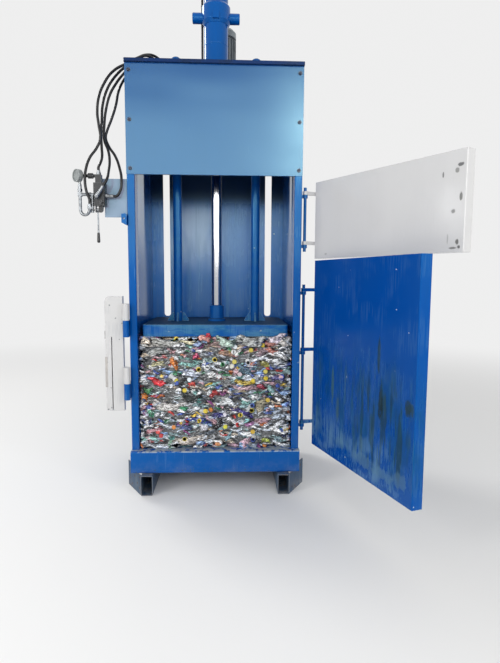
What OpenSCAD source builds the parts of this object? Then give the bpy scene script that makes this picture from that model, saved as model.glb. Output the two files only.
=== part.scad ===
/* [Frame] */
// Width over the outside of the posts
frame_w = 1124; // [960:2:1400]
// Chamber depth from the post fronts to the back wall
chamber_d = 724; // [640:2:900]
// Height of the skid feet under the base
foot_h = 137; // [100:1:180]
// Width of one skid foot tube
foot_w = 80; // [60:1:100]
// Height of the base sills
base_h = 150; // [120:1:200]
// How far the front sill stands out before the posts
sill_step = 38; // [20:1:60]
// Width of one post across the front
post_w = 50; // [44:1:70]
// Depth of one post from front to back
post_d = 100; // [80:1:130]
// Height of the posts between the base and the top plate
post_h = 2482; // [2450:1:2700]
// Wall of the posts and foot tubes
tube_wall = 5; // [4:0.5:8]
// Thickness of the chamber wall sheets
sheet_t = 6; // [4:0.5:10]
// Thickness of the top plate
top_t = 20; // [12:1:30]
// Width of a strap slot in the back wall
slot_w = 50; // [30:1:60]
// Distance from one strap slot to the next
slot_pitch = 398; // [340:1:420]

/* [Doors] */
// Height of the lower chamber door
lower_door_h = 1253; // [1100:1:1280]
// Height of the upper feed door
upper_door_h = 496; // [400:1:505]
// Width of the lower chamber door
lower_door_w = 1084; // [1060:1:1090]
// Width of the upper feed door
upper_door_w = 1104; // [1060:1:1110]
// Thickness of both doors over their folded edges
door_t = 64; // [54:1:76]
// Skin thickness of both doors
door_skin = 5; // [4:0.5:8]
// Angle that the lower door stands open
lower_open = 107.4; // [95:0.1:125]
// Angle that the upper door stands open
upper_open = 121; // [95:0.5:130]
// Diameter of the hinge rods
hinge_rod_d = 20; // [16:1:24]

/* [Ram] */
// Diameter of the chrome piston rod
rod_d = 74; // [60:1:80]
// Outside diameter of the cylinder tube
cylinder_d = 165; // [160:1:180]
// Wall of the cylinder tube
cylinder_wall = 7.5; // [6:0.5:9]
// Travel of the ram above the bale
stroke = 1020; // [900:5:1020]
// Height of the pressing platen
platen_h = 78; // [60:1:90]
// Gap between the platen and the chamber sides
platen_gap = 30; // [20:1:45]
// Diameter of the two guide pipes
guide_d = 62; // [50:1:70]
// Distance of each guide pipe from the ram axis
guide_x = 278; // [240:1:320]
// Height of the pressed bale
bale_h = 766; // [600:1:790]

/* [Latch] */
// Height of the white latch bar
latch_h = 755; // [650:1:800]
// Width of the latch bar
latch_w = 116; // [100:1:130]
// Depth of the latch bar
latch_d = 40; // [30:1:46]
// Diameter of the latch hinge barrels
barrel_d = 42; // [34:1:44]
// Diameter of the latch hinge pins
latch_pin_d = 16; // [12:1:20]

/* [Power unit and valve] */
// Width of the oil tank
tank_w = 440; // [360:1:500]
// Height of the oil tank
tank_h = 176; // [160:1:200]
// Diameter of the electric motor over its fins
motor_d = 180; // [150:1:190]
// Outside diameter of the hydraulic hoses
hose_d = 17; // [14:0.5:18]
// Diameter of the pressure gauge
gauge_d = 80; // [63:1:90]

/* [Hidden] */

// Smoothness of the round parts
$fn = 48;
// Clearance left between parts that move past each other
run_gap = 0.3;
// Outer corner radius of folded and drawn sections
fold_r = 10;

// Main levels above the floor
base_z = foot_h + base_h;
top_z = base_z + post_h;
half_w = frame_w / 2;
inner_x = half_w - post_w;
front_y = -chamber_d / 2;
back_y = chamber_d / 2;
sill_y = front_y - sill_step;
// Depth of the sill channels
sill_d = 100;
rear_y = back_y + sheet_t;
// Depth of the ribs behind the back wall
rib_d = 60;
rear_end = rear_y + rib_d;

// Feet
foot_x = half_w - 107;
foot_front = sill_y - 42;
foot_rear = rear_end + 50;
// How far the foot gussets reach outside the posts
gusset_out = 50;
gusset_run = 205;
gusset_t = 6;
// How far a gusset climbs beside the base
gusset_lap = 38;

// Floor deck
deck_t = 10;
plank_h = 34;
plank_wall = 6;

// Ram levels
bale_top = base_z + bale_h;
platen_z = bale_top + run_gap;
platen_top = platen_z + platen_h;
platen_x = inner_x - platen_gap;
platen_y = chamber_d / 2 - 22;
// Bale layers, and the ragged edge in front of the platen
bale_layers = 9;
bale_in = 48;
edge_t = 12;
edge_y = -platen_y - 2;
edge_gap = 0.2;
boss_h = 115;
boss_top = platen_top + boss_h;
// Lowest point of the cylinder, clear of the boss when the ram is up
gland_z = boss_top + stroke + 14;
gland_flange = 30;
gland_sleeve = 70;
piston_h = 60;
piston_z = gland_z + gland_flange + gland_sleeve + 20;
piston_top = piston_z + piston_h;
tube_r = cylinder_d / 2;
bore_r = tube_r - cylinder_wall;
tube_z0 = gland_z + gland_flange;
tube_z1 = piston_top + stroke + 26;
cap_h = 30;
// Middle of the trunnion collar
collar_z = tube_z1 - 280;
collar_h = 138;
collar_r = tube_r + 15;
trunnion_r = 35;
trunnion_x = tube_r + 79;
pin_drop = 15;
// Rigid pipe beside the tube, behind the trunnion pin
pipe_x = tube_r + 15.5;
pipe_y = 50;
pipe_r = 8;
pipe_z0 = top_z + top_t + 61;
// Weld seam round the tube
seam_z = tube_z1 - 480;
beam_h = 160;
beam_w = 50;
beam_y = 135;
flange_side = 300;
flange_t = 30;
guide_top = top_z + top_t + 168;
bush_r = guide_d / 2 + 15;

// Cover over the head
panel_t = 4;
panel_z = top_z - 675;
panel_y = front_y - panel_t;
panel_lip = 15;
bolt_x = half_w - post_w / 2;
bolt_rise = 35;
// How far the top bolts sit below the top edge
bolt_drop = 44;
bolt_r = 10;

// Doors in their closed place
door_gap = 4;
door_in_y = front_y - door_gap;
door_out_y = door_in_y - door_t;
lower_z = base_z + 19;
upper_z = lower_z + lower_door_h + 13;
hinge_x = half_w + 28;
hinge_in = 60;
hinge_y = front_y + hinge_in;
knuckle_r = hinge_rod_d / 2 + 7;
knuckle_h = 22;
// Hinge arms, each at its share of the door's height
lower_arms = [for (share = [0.1133, 0.514, 0.8364]) lower_z + share * lower_door_h];
upper_arms = [for (share = [0.1835, 0.8367]) upper_z + share * upper_door_h];
arm_t = 14;

// Latch
latch_x = -half_w - 13;
latch_z = base_z + 278;
latch_reach = 25;
// Distance from the hinge axis to the clamping face
latch_face = barrel_d / 2 + 3;
latch_y = door_out_y - 1 + latch_face;
knuckle_tall = 108;
handle_z = 158;
handle_h = 200;
latch_hinges = [for (share = [0.1033, 0.6517]) latch_z + share * latch_h];

// Power unit
tank_x = 20;
tank_y0 = 105;
tank_d = 290;
tank_z = top_z + top_t;
tank_lid_t = 10;
motor_x = 50;
motor_y = tank_y0 + 110;
motor_z = tank_z + tank_h + tank_lid_t;
motor_h = 194;
cowl_h = 62;
motor_fins = 20;

// Valve on the left post
bracket_y = front_y + 12;
bracket_t = 8;
bracket_x0 = -half_w - 195;
bracket_z0 = panel_z - 270;
bracket_h = 241;
valve_x0 = -half_w - 198;
valve_w = 70;
valve_d = 64;
valve_y = bracket_y - valve_d / 2;
valve_front = bracket_y - valve_d;
valve_z0 = bracket_z0 + 66;
valve_h = 140;
// Left arm of the valve with its tee, return bend and relief cartridge
arm_z = valve_z0 + 70;
tee_x = valve_x0 - 90;
bend_r = 35;
bend_turn = 22.5;
bend_z = arm_z - 93;
cartridge_x = valve_x0 - 15;
port_x = valve_x0 + 29;
port_h = 52;
gauge_x = tee_x - 11;
gauge_z = valve_z0 + 185;
gauge_t = 28;
// How far the gauge is turned from the front to the left
gauge_turn = 42;
lever_x = valve_x0 + 19;
lever_z = valve_z0 - 24;
lever_pin_r = 4;
lever_len = 184;
grip_len = 62;

// Hose routes, from the power unit and the cylinder over the head and down to the valve
OUTER_ROUTE = [[-130, 50, 2850], [-150, 50, 2850], [-255, 62, 2860], [-330, 42, 2882],
    [-395, -15, 2908], [-455, -80, 2925], [-510, -135, 2892], [-560, -185, 2842],
    [-654, -285, 2738], [-701, -315, 2655], [-729, -335, 2571], [-739, -345, 2472],
    [-730, -352, 2394], [-721, -358, 2310], [-741, -364, 2255], [-785, -380, 2185],
    [-805, -397, 2115], [-811, -406, 2045], [-801, -409, 1970], [-785, -409, 1925],
    [-785, -409, 1897]];
SECOND_ROUTE = [[-150, 80, 2831], [-150, 80, 2850], [-170, 86, 2880], [-255, 90, 2905],
    [-325, 70, 2918], [-380, 30, 2940], [-425, -10, 2956], [-470, -52, 2945],
    [-514, -100, 2908], [-568, -158, 2842], [-647, -262, 2713], [-689, -288, 2629],
    [-714, -306, 2528], [-719, -316, 2433], [-724, -324, 2339], [-720, -332, 2260],
    [-716, -346, 2200], [-723, -368, 2155], [-731, -382, 2128], [-731, -382, 2108]];
THIRD_ROUTE = [[-232, 170, 2900], [-250, 170, 2900], [-370, 120, 2935], [-450, 45, 2945],
    [-520, -40, 2915], [-565, -110, 2855], [-600, -168, 2780], [-637, -250, 2684],
    [-675, -270, 2605], [-700, -282, 2504], [-710, -292, 2409], [-710, -300, 2315],
    [-684, -314, 2249], [-671, -338, 2186], [-668, -390, 2099], [-672, -432, 2040],
    [-682, -436, 2022], [-693, -436, 2005]];
INNER_ROUTE = [[-232, 230, 2900], [-250, 230, 2900], [-390, 170, 2920], [-470, 85, 2915],
    [-535, -5, 2865], [-586, -95, 2795], [-606, -180, 2725], [-628, -235, 2635],
    [-642, -252, 2548], [-671, -264, 2452], [-697, -272, 2382], [-706, -276, 2336],
    [-686, -284, 2281], [-644, -304, 2219], [-609, -345, 2139], [-591, -374, 2056],
    [-599, -381, 1986], [-624, -382, 1952], [-642, -382, 1952]];
// Sizes that the routes above were laid for
LAID_HALF_W = 562;
LAID_FRONT_Y = -362;
LAID_TOP_Z = 2769;
LAID_TUBE_R = 82.5;
LAID_TANK_X0 = -200;

// Paint colours
blue = [0.03, 0.25, 0.6];
dark_blue = [0.04, 0.14, 0.35];
pale = [0.86, 0.87, 0.88];
steel = [0.72, 0.73, 0.75];
dark = [0.12, 0.13, 0.14];

// Block between two corners
module block(x0, x1, y0, y1, z0, z1) {
    translate([x0, y0, z0]) cube([x1 - x0, y1 - y0, z1 - z0]);
}

// Rectangle centred on the origin with rounded corners
module rounded_rect(w, d, r) {
    square([w - 2 * r, d], center = true);
    square([w, d - 2 * r], center = true);
    for (x = [-1, 1], y = [-1, 1]) translate([x * (w / 2 - r), y * (d / 2 - r)]) circle(r, $fn = 32);
}

// Section of a drawn rectangular tube
module tube_section(w, d, wall, r) {
    difference() {
        rounded_rect(w, d, r);
        rounded_rect(w - 2 * wall, d - 2 * wall, r - wall * 0.7);
    }
}

// Section of a folded channel that opens towards +X
module channel_section(depth, h, wall, r) {
    intersection() {
        translate([depth, h / 2]) tube_section(2 * depth, h, wall, r);
        square([depth, h]);
    }
}

// Cylinder along X from one place to another
module rod_x(x0, x1, r) {
    translate([x0, 0, 0]) rotate([0, 90, 0]) cylinder(h = x1 - x0, r = r);
}

// Base

module foot() {
    length = foot_rear - foot_front;
    translate([foot_x, foot_rear, foot_h / 2])
        rotate([90, 0, 0]) linear_extrude(length) tube_section(foot_w, foot_h, tube_wall, fold_r);
    foot_gusset(foot_front, 1);
    foot_gusset(foot_rear, -1);
}

// Oblique plate from a foot tube's end to the outside of the base
module foot_gusset(end_y, way) {
    start = foot_x + foot_w / 2 - tube_wall;
    outer = half_w + gusset_out;
    translate([0, end_y, 0]) facing(way) {
        linear_extrude(foot_h) gusset_plan(start, outer);
        linear_extrude(foot_h + gusset_lap) intersection() {
            gusset_plan(start, outer);
            translate([half_w + 6, 0]) square([gusset_out, gusset_run + 10]);
        }
    }
}

module gusset_plan(x0, x1) {
    polygon([[x0, 0], [x0, 2.2 * gusset_t], [x1 - gusset_t, gusset_run], [x1, gusset_run]]);
}

// Turns a shape to face front or back
module facing(way) {
    if (way > 0) children();
    else mirror([0, 1, 0]) children();
}

// Puts a shape on the right or the left side
module on_side(side) {
    if (side > 0) children();
    else mirror([1, 0, 0]) children();
}

module foot_left() {
    color(dark_blue) mirror([1, 0, 0]) foot();
}

module foot_right() {
    color(dark_blue) foot();
}

module sill_bar() {
    translate([-half_w - 3, 0, foot_h]) rotate([90, 0, 90])
        linear_extrude(frame_w + 6) channel_section(sill_d, base_h, 8, fold_r + 2);
}

module front_sill() {
    color(blue) translate([0, sill_y, 0]) sill_bar();
}

module rear_sill() {
    color(blue) translate([0, rear_end, 0]) mirror([0, 1, 0]) sill_bar();
}

module side_rail() {
    length = rear_end - sill_y - 2 * sill_d;
    translate([half_w + 3, sill_y + sill_d + length, foot_h]) rotate([90, 0, 0])
        linear_extrude(length) mirror([1, 0]) channel_section(70, base_h, 8, fold_r + 2);
}

module side_rail_left() {
    color(blue) mirror([1, 0, 0]) side_rail();
}

module side_rail_right() {
    color(blue) side_rail();
}

// Section of the deck planks: folded channels with a strap way between each two
module deck_section(half) {
    ways = [for (i = [-1:1]) i * slot_pitch];
    lefts = [-half, for (x = ways) x + slot_w / 2];
    rights = [for (x = ways) x - slot_w / 2, half];
    for (i = [0:3]) if (rights[i] - lefts[i] > 3 * deck_t) difference() {
        translate([lefts[i], -plank_h]) square([rights[i] - lefts[i], plank_h]);
        translate([lefts[i] + plank_wall, -plank_h - 1])
            square([rights[i] - lefts[i] - 2 * plank_wall, plank_h - deck_t + 1]);
    }
}

module floor_deck() {
    length = rear_end - sill_y - 2 * sill_d;
    color(blue) translate([0, sill_y + sill_d + length, base_z]) rotate([90, 0, 0])
        linear_extrude(length) deck_section(half_w + 3 - 70);
}

// Uprights and walls

module post(x, y) {
    translate([x, y, base_z]) linear_extrude(post_h) tube_section(post_w, post_d, tube_wall, 8);
}

module post_front_left() {
    color(blue) post(-half_w + post_w / 2, front_y + post_d / 2);
}

module post_front_right() {
    color(blue) post(half_w - post_w / 2, front_y + post_d / 2);
}

module post_rear_left() {
    color(blue) post(-half_w + post_w / 2, back_y - post_d / 2);
}

module post_rear_right() {
    color(blue) post(half_w - post_w / 2, back_y - post_d / 2);
}

// Wall sheet between two posts with folded ribs on its outside
module side_wall() {
    y0 = front_y + post_d;
    y1 = back_y - post_d;
    ribs = 6;
    step = post_h / ribs;
    block(inner_x, inner_x + sheet_t, y0, y1, base_z, top_z);
    for (i = [0:ribs - 1]) translate([inner_x + sheet_t, y1, base_z + (i + 0.5) * step - 35])
        rotate([90, 0, 0]) linear_extrude(y1 - y0) rib_section(post_w - sheet_t - 6, 70);
}

// Hat section of a pressed rib
module rib_section(deep, wide) {
    difference() {
        polygon([[0, 0], [deep, 14], [deep, wide - 14], [0, wide]]);
        polygon([[-1, 6], [deep - 5, 18], [deep - 5, wide - 18], [-1, wide - 6]]);
    }
}

module side_wall_left() {
    color(blue) mirror([1, 0, 0]) side_wall();
}

module side_wall_right() {
    color(blue) side_wall();
}

// Upright slot with round ends
module long_slot(z0, z1) {
    translate([0, back_y - 1, 0]) rotate([-90, 0, 0]) linear_extrude(sheet_t + 2) {
        translate([0, -z0 - slot_w / 2]) circle(slot_w / 2);
        translate([0, -z1 + slot_w / 2]) circle(slot_w / 2);
        translate([-slot_w / 2, -z1 + slot_w / 2]) square([slot_w, z1 - z0 - slot_w]);
    }
}

// Level of the closed bridge between the lower and upper slots, above the bale
bridge_z = bale_top + 84;

module back_wall() {
    color(blue) difference() {
        block(-half_w, half_w, back_y, rear_y, base_z, top_z);
        for (i = [-1:1]) translate([i * slot_pitch, 0, 0]) {
            long_slot(base_z + 40, bridge_z - 80);
            long_slot(bridge_z, top_z - 160);
        }
    }
}

module back_ribs() {
    length = 2 * half_w;
    levels = [base_z + 420, bridge_z - 78, top_z - 480, top_z - 150];
    color(blue) {
        for (z = levels) translate([-half_w, rear_y, z]) rotate([90, 0, 90])
            linear_extrude(length) back_rib_section();
        // Flats that tie the middle ribs together
        for (x = [-half_w + 4, half_w - 44])
            block(x, x + 40, rear_y, rear_y + 30, levels[1] + 76, levels[2]);
    }
}

module back_rib_section() {
    difference() {
        square([rib_d, 76]);
        translate([-1, 6]) square([rib_d - 5, 64]);
    }
}

// Head

module head_beams() {
    color(blue) for (side = [-1, 1]) facing(side)
        translate([-inner_x, beam_y + beam_w / 2, top_z - beam_h]) rotate([90, 0, 90])
            linear_extrude(2 * inner_x) mirror([1, 0]) channel_section(beam_w, beam_h, 8, fold_r);
}

module top_plate() {
    color(dark_blue) difference() {
        translate([0, (rear_end + front_y - 23) / 2, top_z]) linear_extrude(top_t)
            rounded_rect(frame_w + 4, rear_end - front_y + 23, 6);
        translate([0, 0, top_z - 1]) {
            cylinder(h = top_t + 2, r = tube_r + 1);
            for (side = [-1, 1]) translate([side * guide_x, 0, 0]) cylinder(h = top_t + 2, r = bush_r);
        }
    }
}

module cover_panel() {
    color(blue) {
        block(-half_w, half_w, panel_y, front_y, panel_z, top_z);
        // Folded return along the lower edge, between the posts
        block(-inner_x, inner_x, front_y, front_y + panel_lip, panel_z, panel_z + panel_t);
        // Folded return along the upper edge, under the top plate
        block(-inner_x, inner_x, front_y, front_y + panel_lip, top_z - panel_t, top_z);
    }
}

module cover_bolts() {
    span = top_z - panel_z - bolt_rise - bolt_drop;
    color(dark) for (side = [-1, 1], i = [0:2])
        translate([side * bolt_x, panel_y, panel_z + bolt_rise + i * span / 2]) rotate([90, 0, 0]) {
            cylinder(h = 2, r = bolt_r + 2.5);
            translate([0, 0, 2]) cylinder(h = 8, r = bolt_r, $fn = 6);
        }
}

// Cylinder

module cylinder_tube() {
    color(blue) rotate_extrude() {
        translate([bore_r, tube_z0]) square([cylinder_wall, tube_z1 - tube_z0]);
        // Weld bead where the tube is joined
        translate([tube_r - 4, seam_z]) intersection() {
            circle(5.5, $fn = 32);
            translate([0, -6]) square(12);
        }
    }
}

module trunnion_collar() {
    z0 = -collar_h / 2;
    z1 = collar_h / 2;
    color(blue) translate([0, 0, collar_z]) difference() {
        union() {
            rotate_extrude() polygon([[tube_r - 2, z0], [tube_r + 2, z0], [collar_r, z0 + 24],
                [collar_r, z1 - 19], [tube_r + 2, z1], [tube_r - 2, z1]]);
            for (side = [-1, 1]) translate([0, 0, -pin_drop]) on_side(side) {
                rod_x(tube_r + 4, trunnion_x - 3, trunnion_r);
                rod_x(trunnion_x - 4, trunnion_x, trunnion_r - 3);
            }
            // Square plug on the front
            block(-21, 21, -collar_r - 6, -collar_r + 12, -55, -11);
        }
        translate([0, 0, z0 - 1]) cylinder(h = collar_h + 2, r = tube_r);
    }
}

module cylinder_cap() {
    color(blue) translate([0, 0, tube_z1]) difference() {
        union() {
            rotate_extrude() polygon([[0, 0], [tube_r + 6, 0], [tube_r + 6, cap_h - 6],
                [tube_r, cap_h], [0, cap_h]]);
            // Port block for the rigid pipe
            translate([-pipe_x - 16, pipe_y - 16, -62]) cube([64, 32, cap_h + 58]);
        }
        translate([0, 0, -100]) cylinder(h = 100, r = tube_r);
    }
}

module cylinder_gland() {
    color(steel) translate([0, 0, gland_z]) difference() {
        union() {
            cylinder(h = gland_flange, r = tube_r + 14);
            translate([0, 0, gland_flange]) cylinder(h = gland_sleeve, r = bore_r);
        }
        translate([0, 0, -1]) cylinder(h = gland_flange + gland_sleeve + 2, r = rod_d / 2 + run_gap);
    }
}

// Square flange that bears up against the head beams
module cylinder_flange() {
    color(blue) translate([0, 0, top_z - beam_h - flange_t]) difference() {
        linear_extrude(flange_t) rounded_rect(flange_side, 2 * (beam_y + beam_w / 2), 12);
        translate([0, 0, -1]) cylinder(h = flange_t + 2, r = tube_r);
        for (x = [-1, 1], y = [-1, 1]) translate([x * (flange_side / 2 - 24), y * beam_y, -1])
            cylinder(h = flange_t + 2, r = 9);
    }
}

module cylinder_pipe() {
    z1 = tube_z1 - 62;
    color(dark) translate([-pipe_x, pipe_y, pipe_z0]) {
        cylinder(h = z1 - pipe_z0, r = pipe_r);
        sphere(pipe_r + 4);
        rod_x(-20, 0, pipe_r + 1);
    }
}

module guide_bushes() {
    color(steel) for (side = [-1, 1]) translate([side * guide_x, 0, top_z - 60]) difference() {
        union() {
            cylinder(h = 60 + top_t + 30, r = bush_r);
            translate([0, 0, 60 + top_t]) cylinder(h = 12, r = bush_r + 16);
        }
        translate([0, 0, -1]) cylinder(h = 60 + top_t + 32, r = guide_d / 2 + run_gap);
    }
}

// Power unit

module oil_tank() {
    x0 = tank_x - tank_w / 2;
    color(blue) {
        translate([tank_x, tank_y0 + tank_d / 2, tank_z]) linear_extrude(tank_h)
            tube_section(tank_w, tank_d, 5, fold_r);
        translate([tank_x, tank_y0 + tank_d / 2, tank_z + tank_h]) linear_extrude(tank_lid_t)
            rounded_rect(tank_w + 24, tank_d + 24, fold_r);
        // Filler cap
        translate([x0 + 60, tank_y0 + tank_d - 60, tank_z + tank_h + tank_lid_t]) {
            cylinder(h = 26, r = 24);
            translate([0, 0, 26]) cylinder(h = 16, r = 30);
        }
    }
}

// Section of the motor body with its cooling fins
module motor_section() {
    body_r = motor_d / 2 - 12;
    circle(body_r);
    for (i = [0:motor_fins - 1]) rotate((i + 0.5) * 360 / motor_fins)
        translate([body_r - 3, -2]) square([15, 4]);
}

module motor() {
    color([0.3, 0.34, 0.34]) translate([motor_x, motor_y, motor_z]) {
        cylinder(h = 14, r = motor_d / 2);
        linear_extrude(motor_h - 16) motor_section();
        cylinder(h = motor_h, r = motor_d / 2 - 20);
        // Terminal box on the left side
        translate([-motor_d / 2 - 36, -38, 40]) cube([74, 76, 70]);
    }
}

module motor_cowl() {
    color(dark) translate([motor_x, motor_y, motor_z + motor_h]) difference() {
        rotate_extrude() polygon([[0, 0], [motor_d / 2, 0], [motor_d / 2, cowl_h - 22],
            [motor_d / 2 - 20, cowl_h], [0, cowl_h]]);
        for (i = [0:11]) rotate([0, 0, i * 30]) translate([22, -3, cowl_h - 8]) cube([38, 6, 10]);
    }
}

// Hinges

module hinge_lug(z) {
    translate([hinge_x, hinge_y, z]) difference() {
        union() {
            cylinder(h = knuckle_h, r = knuckle_r);
            translate([-(hinge_x - half_w), -arm_t / 2, 0]) cube([hinge_x - half_w, arm_t, knuckle_h]);
        }
        translate([0, 0, -1]) cylinder(h = knuckle_h + 2, r = hinge_rod_d / 2);
    }
}

module hinge_lugs() {
    color(blue) for (z = concat(lower_arms, upper_arms)) hinge_lug(z - knuckle_h - run_gap);
}

module hinge_rod(levels) {
    z0 = levels[0] - knuckle_h - 24;
    z1 = levels[len(levels) - 1] + knuckle_h + 24;
    translate([hinge_x, hinge_y, z0]) cylinder(h = z1 - z0, r = hinge_rod_d / 2);
}

module lower_hinge_rod() {
    color(dark_blue) hinge_rod(lower_arms);
}

module upper_hinge_rod() {
    color(dark_blue) hinge_rod(upper_arms);
}

// Turns a door from its closed place to where it stands
module opened(angle) {
    translate([hinge_x, hinge_y, 0]) rotate([0, 0, angle]) translate([-hinge_x, -hinge_y, 0]) children();
}

// Door tray: a skin towards the chamber with four edges folded outwards
module door_tray(w, z0, h) {
    x0 = half_w - w;
    difference() {
        translate([x0 + w / 2, door_in_y - door_t / 2, z0]) linear_extrude(h) rounded_rect(w, door_t, 5);
        block(x0 + door_skin, half_w - door_skin, door_out_y - 1, door_in_y - door_skin,
            z0 + door_skin, z0 + h - door_skin);
    }
}

// Section of a folded hat rib, with its open side on the door skin
module hat_section(wide, deep) {
    difference() {
        translate([-wide / 2, 0]) square([wide, deep]);
        translate([-wide / 2 + 4, -1]) square([wide - 8, deep - 3]);
    }
}

// Folded ribs inside a door tray
module door_ribs(w, z0, h, bars, uprights) {
    x0 = half_w - w + door_skin;
    x1 = half_w - door_skin;
    skin_y = door_in_y - door_skin;
    deep = door_t - door_skin - 8;
    bar_step = h / (bars + 1);
    for (i = [1:bars]) translate([x0, skin_y, z0 + i * bar_step]) rotate([90, 0, 90])
        linear_extrude(x1 - x0) mirror([1, 0]) rotate(-90) hat_section(60, deep);
    for (i = [1:uprights]) difference() {
        translate([x0 + i * (x1 - x0) / (uprights + 1), skin_y, z0 + door_skin]) mirror([0, 1, 0])
            linear_extrude(h - 2 * door_skin) hat_section(50, deep + 6);
        for (j = [1:bars]) block(-2 * half_w, 2 * half_w, skin_y - deep, skin_y + 1,
            z0 + j * bar_step - 30, z0 + j * bar_step + 30);
    }
}

// Ribs of a door with the arms that reach the hinge knuckles
module door_frame(w, z0, h, bars, uprights, arms) {
    door_ribs(w, z0, h, bars, uprights);
    for (z = arms) door_arm(z);
}

module door_arm(z) {
    translate([0, 0, z]) difference() {
        union() {
            translate([hinge_x, hinge_y, 0]) cylinder(h = knuckle_h, r = knuckle_r);
            linear_extrude(knuckle_h) polygon([[half_w, door_in_y - 6], [half_w, door_out_y + 8],
                [half_w + 12, door_out_y + 8], [hinge_x + knuckle_r, hinge_y],
                [hinge_x - knuckle_r + 3, hinge_y], [half_w + 12, door_in_y - 6]]);
        }
        translate([hinge_x, hinge_y, -1]) cylinder(h = knuckle_h + 2, r = hinge_rod_d / 2 + run_gap);
    }
}

module lower_door() {
    color(blue) opened(lower_open) door_tray(lower_door_w, lower_z, lower_door_h);
}

module lower_door_frame() {
    color(blue) opened(lower_open) door_frame(lower_door_w, lower_z, lower_door_h, 4, 2, lower_arms);
}

module upper_door() {
    color(pale) opened(upper_open) door_tray(upper_door_w, upper_z, upper_door_h);
}

module upper_door_frame() {
    color(pale) opened(upper_open) door_frame(upper_door_w, upper_z, upper_door_h, 2, 2, upper_arms);
}

// Latch, standing open to the left

module latch_knuckle(z, h) {
    translate([latch_x, latch_y, z]) cylinder(h = h, r = barrel_d / 2);
}

module latch_bore(z, h) {
    translate([latch_x, latch_y, z]) cylinder(h = h, r = latch_pin_d / 2);
}

module latch_lugs() {
    color(blue) for (z = latch_hinges) difference() {
        union() {
            latch_knuckle(z, knuckle_tall);
            block(-half_w - 14, -half_w, latch_y, front_y + 60, z, z + knuckle_tall);
        }
        latch_bore(z + 12, knuckle_tall);
    }
}

module latch_pins() {
    color(steel) for (z = latch_hinges) translate([latch_x, latch_y, z + 12])
        cylinder(h = 2 * knuckle_tall - 24, r = latch_pin_d / 2);
}

// Bar of folded section: a wide face beside a narrow clamping tongue
module latch_section() {
    x1 = latch_x - latch_reach;
    x0 = x1 - latch_w;
    y0 = latch_y + latch_face;
    difference() {
        translate([x0, y0]) square([latch_w, latch_d]);
        // Groove between the tongue and the wide face
        translate([x0 + 38, y0 - 1]) square([6, latch_d - 7]);
        // Open back of the wide face
        translate([x0 + 50, y0 + 6]) square([latch_w - 56, latch_d]);
    }
}

// Outline of the bar seen from the front, with its outer top corner rounded off
module latch_outline() {
    r = 34;
    x1 = latch_x - latch_reach;
    x0 = x1 - latch_w;
    difference() {
        union() {
            translate([x0, latch_z]) square([latch_w, latch_h - r]);
            translate([x0 + r, latch_z]) square([latch_w - r, latch_h]);
            translate([x0 + r, latch_z + latch_h - r]) circle(r);
        }
        // Notch for the pull handle
        translate([x0 - 1, latch_z + handle_z]) square([13, handle_h]);
    }
}

module latch_bar() {
    x1 = latch_x - latch_reach;
    y0 = latch_y + latch_face;
    bridge = 265;
    color(pale) difference() {
        union() {
            intersection() {
                union() {
                    translate([0, 0, latch_z]) linear_extrude(latch_h) latch_section();
                    // Closed upper part without the groove
                    block(x1 - latch_w + 36, x1 - latch_w + 46, y0, y0 + latch_d - 6,
                        latch_z + latch_h - bridge, latch_z + latch_h);
                }
                translate([0, y0 + latch_d + 1, 0]) rotate([90, 0, 0]) linear_extrude(latch_d + 2)
                    latch_outline();
            }
            for (z = latch_hinges) {
                latch_knuckle(z + knuckle_tall + run_gap, knuckle_tall);
                block(x1 - 4, latch_x - 4, latch_y + 6, latch_y + latch_face + 8,
                    z + knuckle_tall + run_gap, z + 2 * knuckle_tall + run_gap);
            }
        }
        for (z = latch_hinges) translate([latch_x, latch_y, z])
            cylinder(h = 2 * knuckle_tall - 12 + 2 * run_gap, r = latch_pin_d / 2 + run_gap);
    }
}

// Pull handle in the outer edge of the latch bar
module latch_handle() {
    x0 = latch_x - latch_reach - latch_w;
    y0 = latch_y + latch_face;
    z = latch_z + handle_z;
    color(steel) {
        block(x0 - 5, x0 + 12, y0 + 4, y0 + 10, z, z + handle_h);
        for (end = [0, handle_h - 12]) block(x0 - 5, x0 + 7, y0 + 10, y0 + 74, z + end, z + end + 12);
        translate([x0 + 1, y0 + 74, z]) cylinder(h = handle_h, r = 8);
        // Stop pad above the handle
        block(x0 - 5, x0, y0 + 6, y0 + latch_d - 6, latch_z + 476, latch_z + 529);
    }
}

// Keeper for the upper door on the left post
module door_keeper() {
    color(blue) translate([-half_w, bracket_y, bracket_z0 - 50]) difference() {
        rotate([90, 0, 0]) linear_extrude(36)
            polygon([[-33, 14], [-33, 70], [-8, 74], [0, 64], [0, 0], [-6, 0]]);
        translate([-19, 1, 41]) rotate([90, 0, 0]) cylinder(h = 38, r = 6);
    }
}

// Valve

module valve_bracket() {
    z1 = bracket_z0 + bracket_h;
    color(blue) translate([0, bracket_y + bracket_t, 0]) rotate([90, 0, 0]) linear_extrude(bracket_t)
        polygon([[-half_w, bracket_z0], [-half_w, z1], [bracket_x0 + 42, z1], [bracket_x0, z1 - 42],
            [bracket_x0, bracket_z0 + 76], [bracket_x0 + 52, bracket_z0 + 62],
            [bracket_x0 + 52, bracket_z0]]);
}

// Hexagon nut standing on its seat
module hex_nut(h, r) {
    cylinder(h = h, r = r, $fn = 6);
}

// From the back of the gauge towards its dial
module on_gauge_back() {
    translate([gauge_x, valve_y, gauge_z]) rotate([90, 0, -gauge_turn])
        translate([0, 0, -gauge_t / 2]) children();
}

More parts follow.
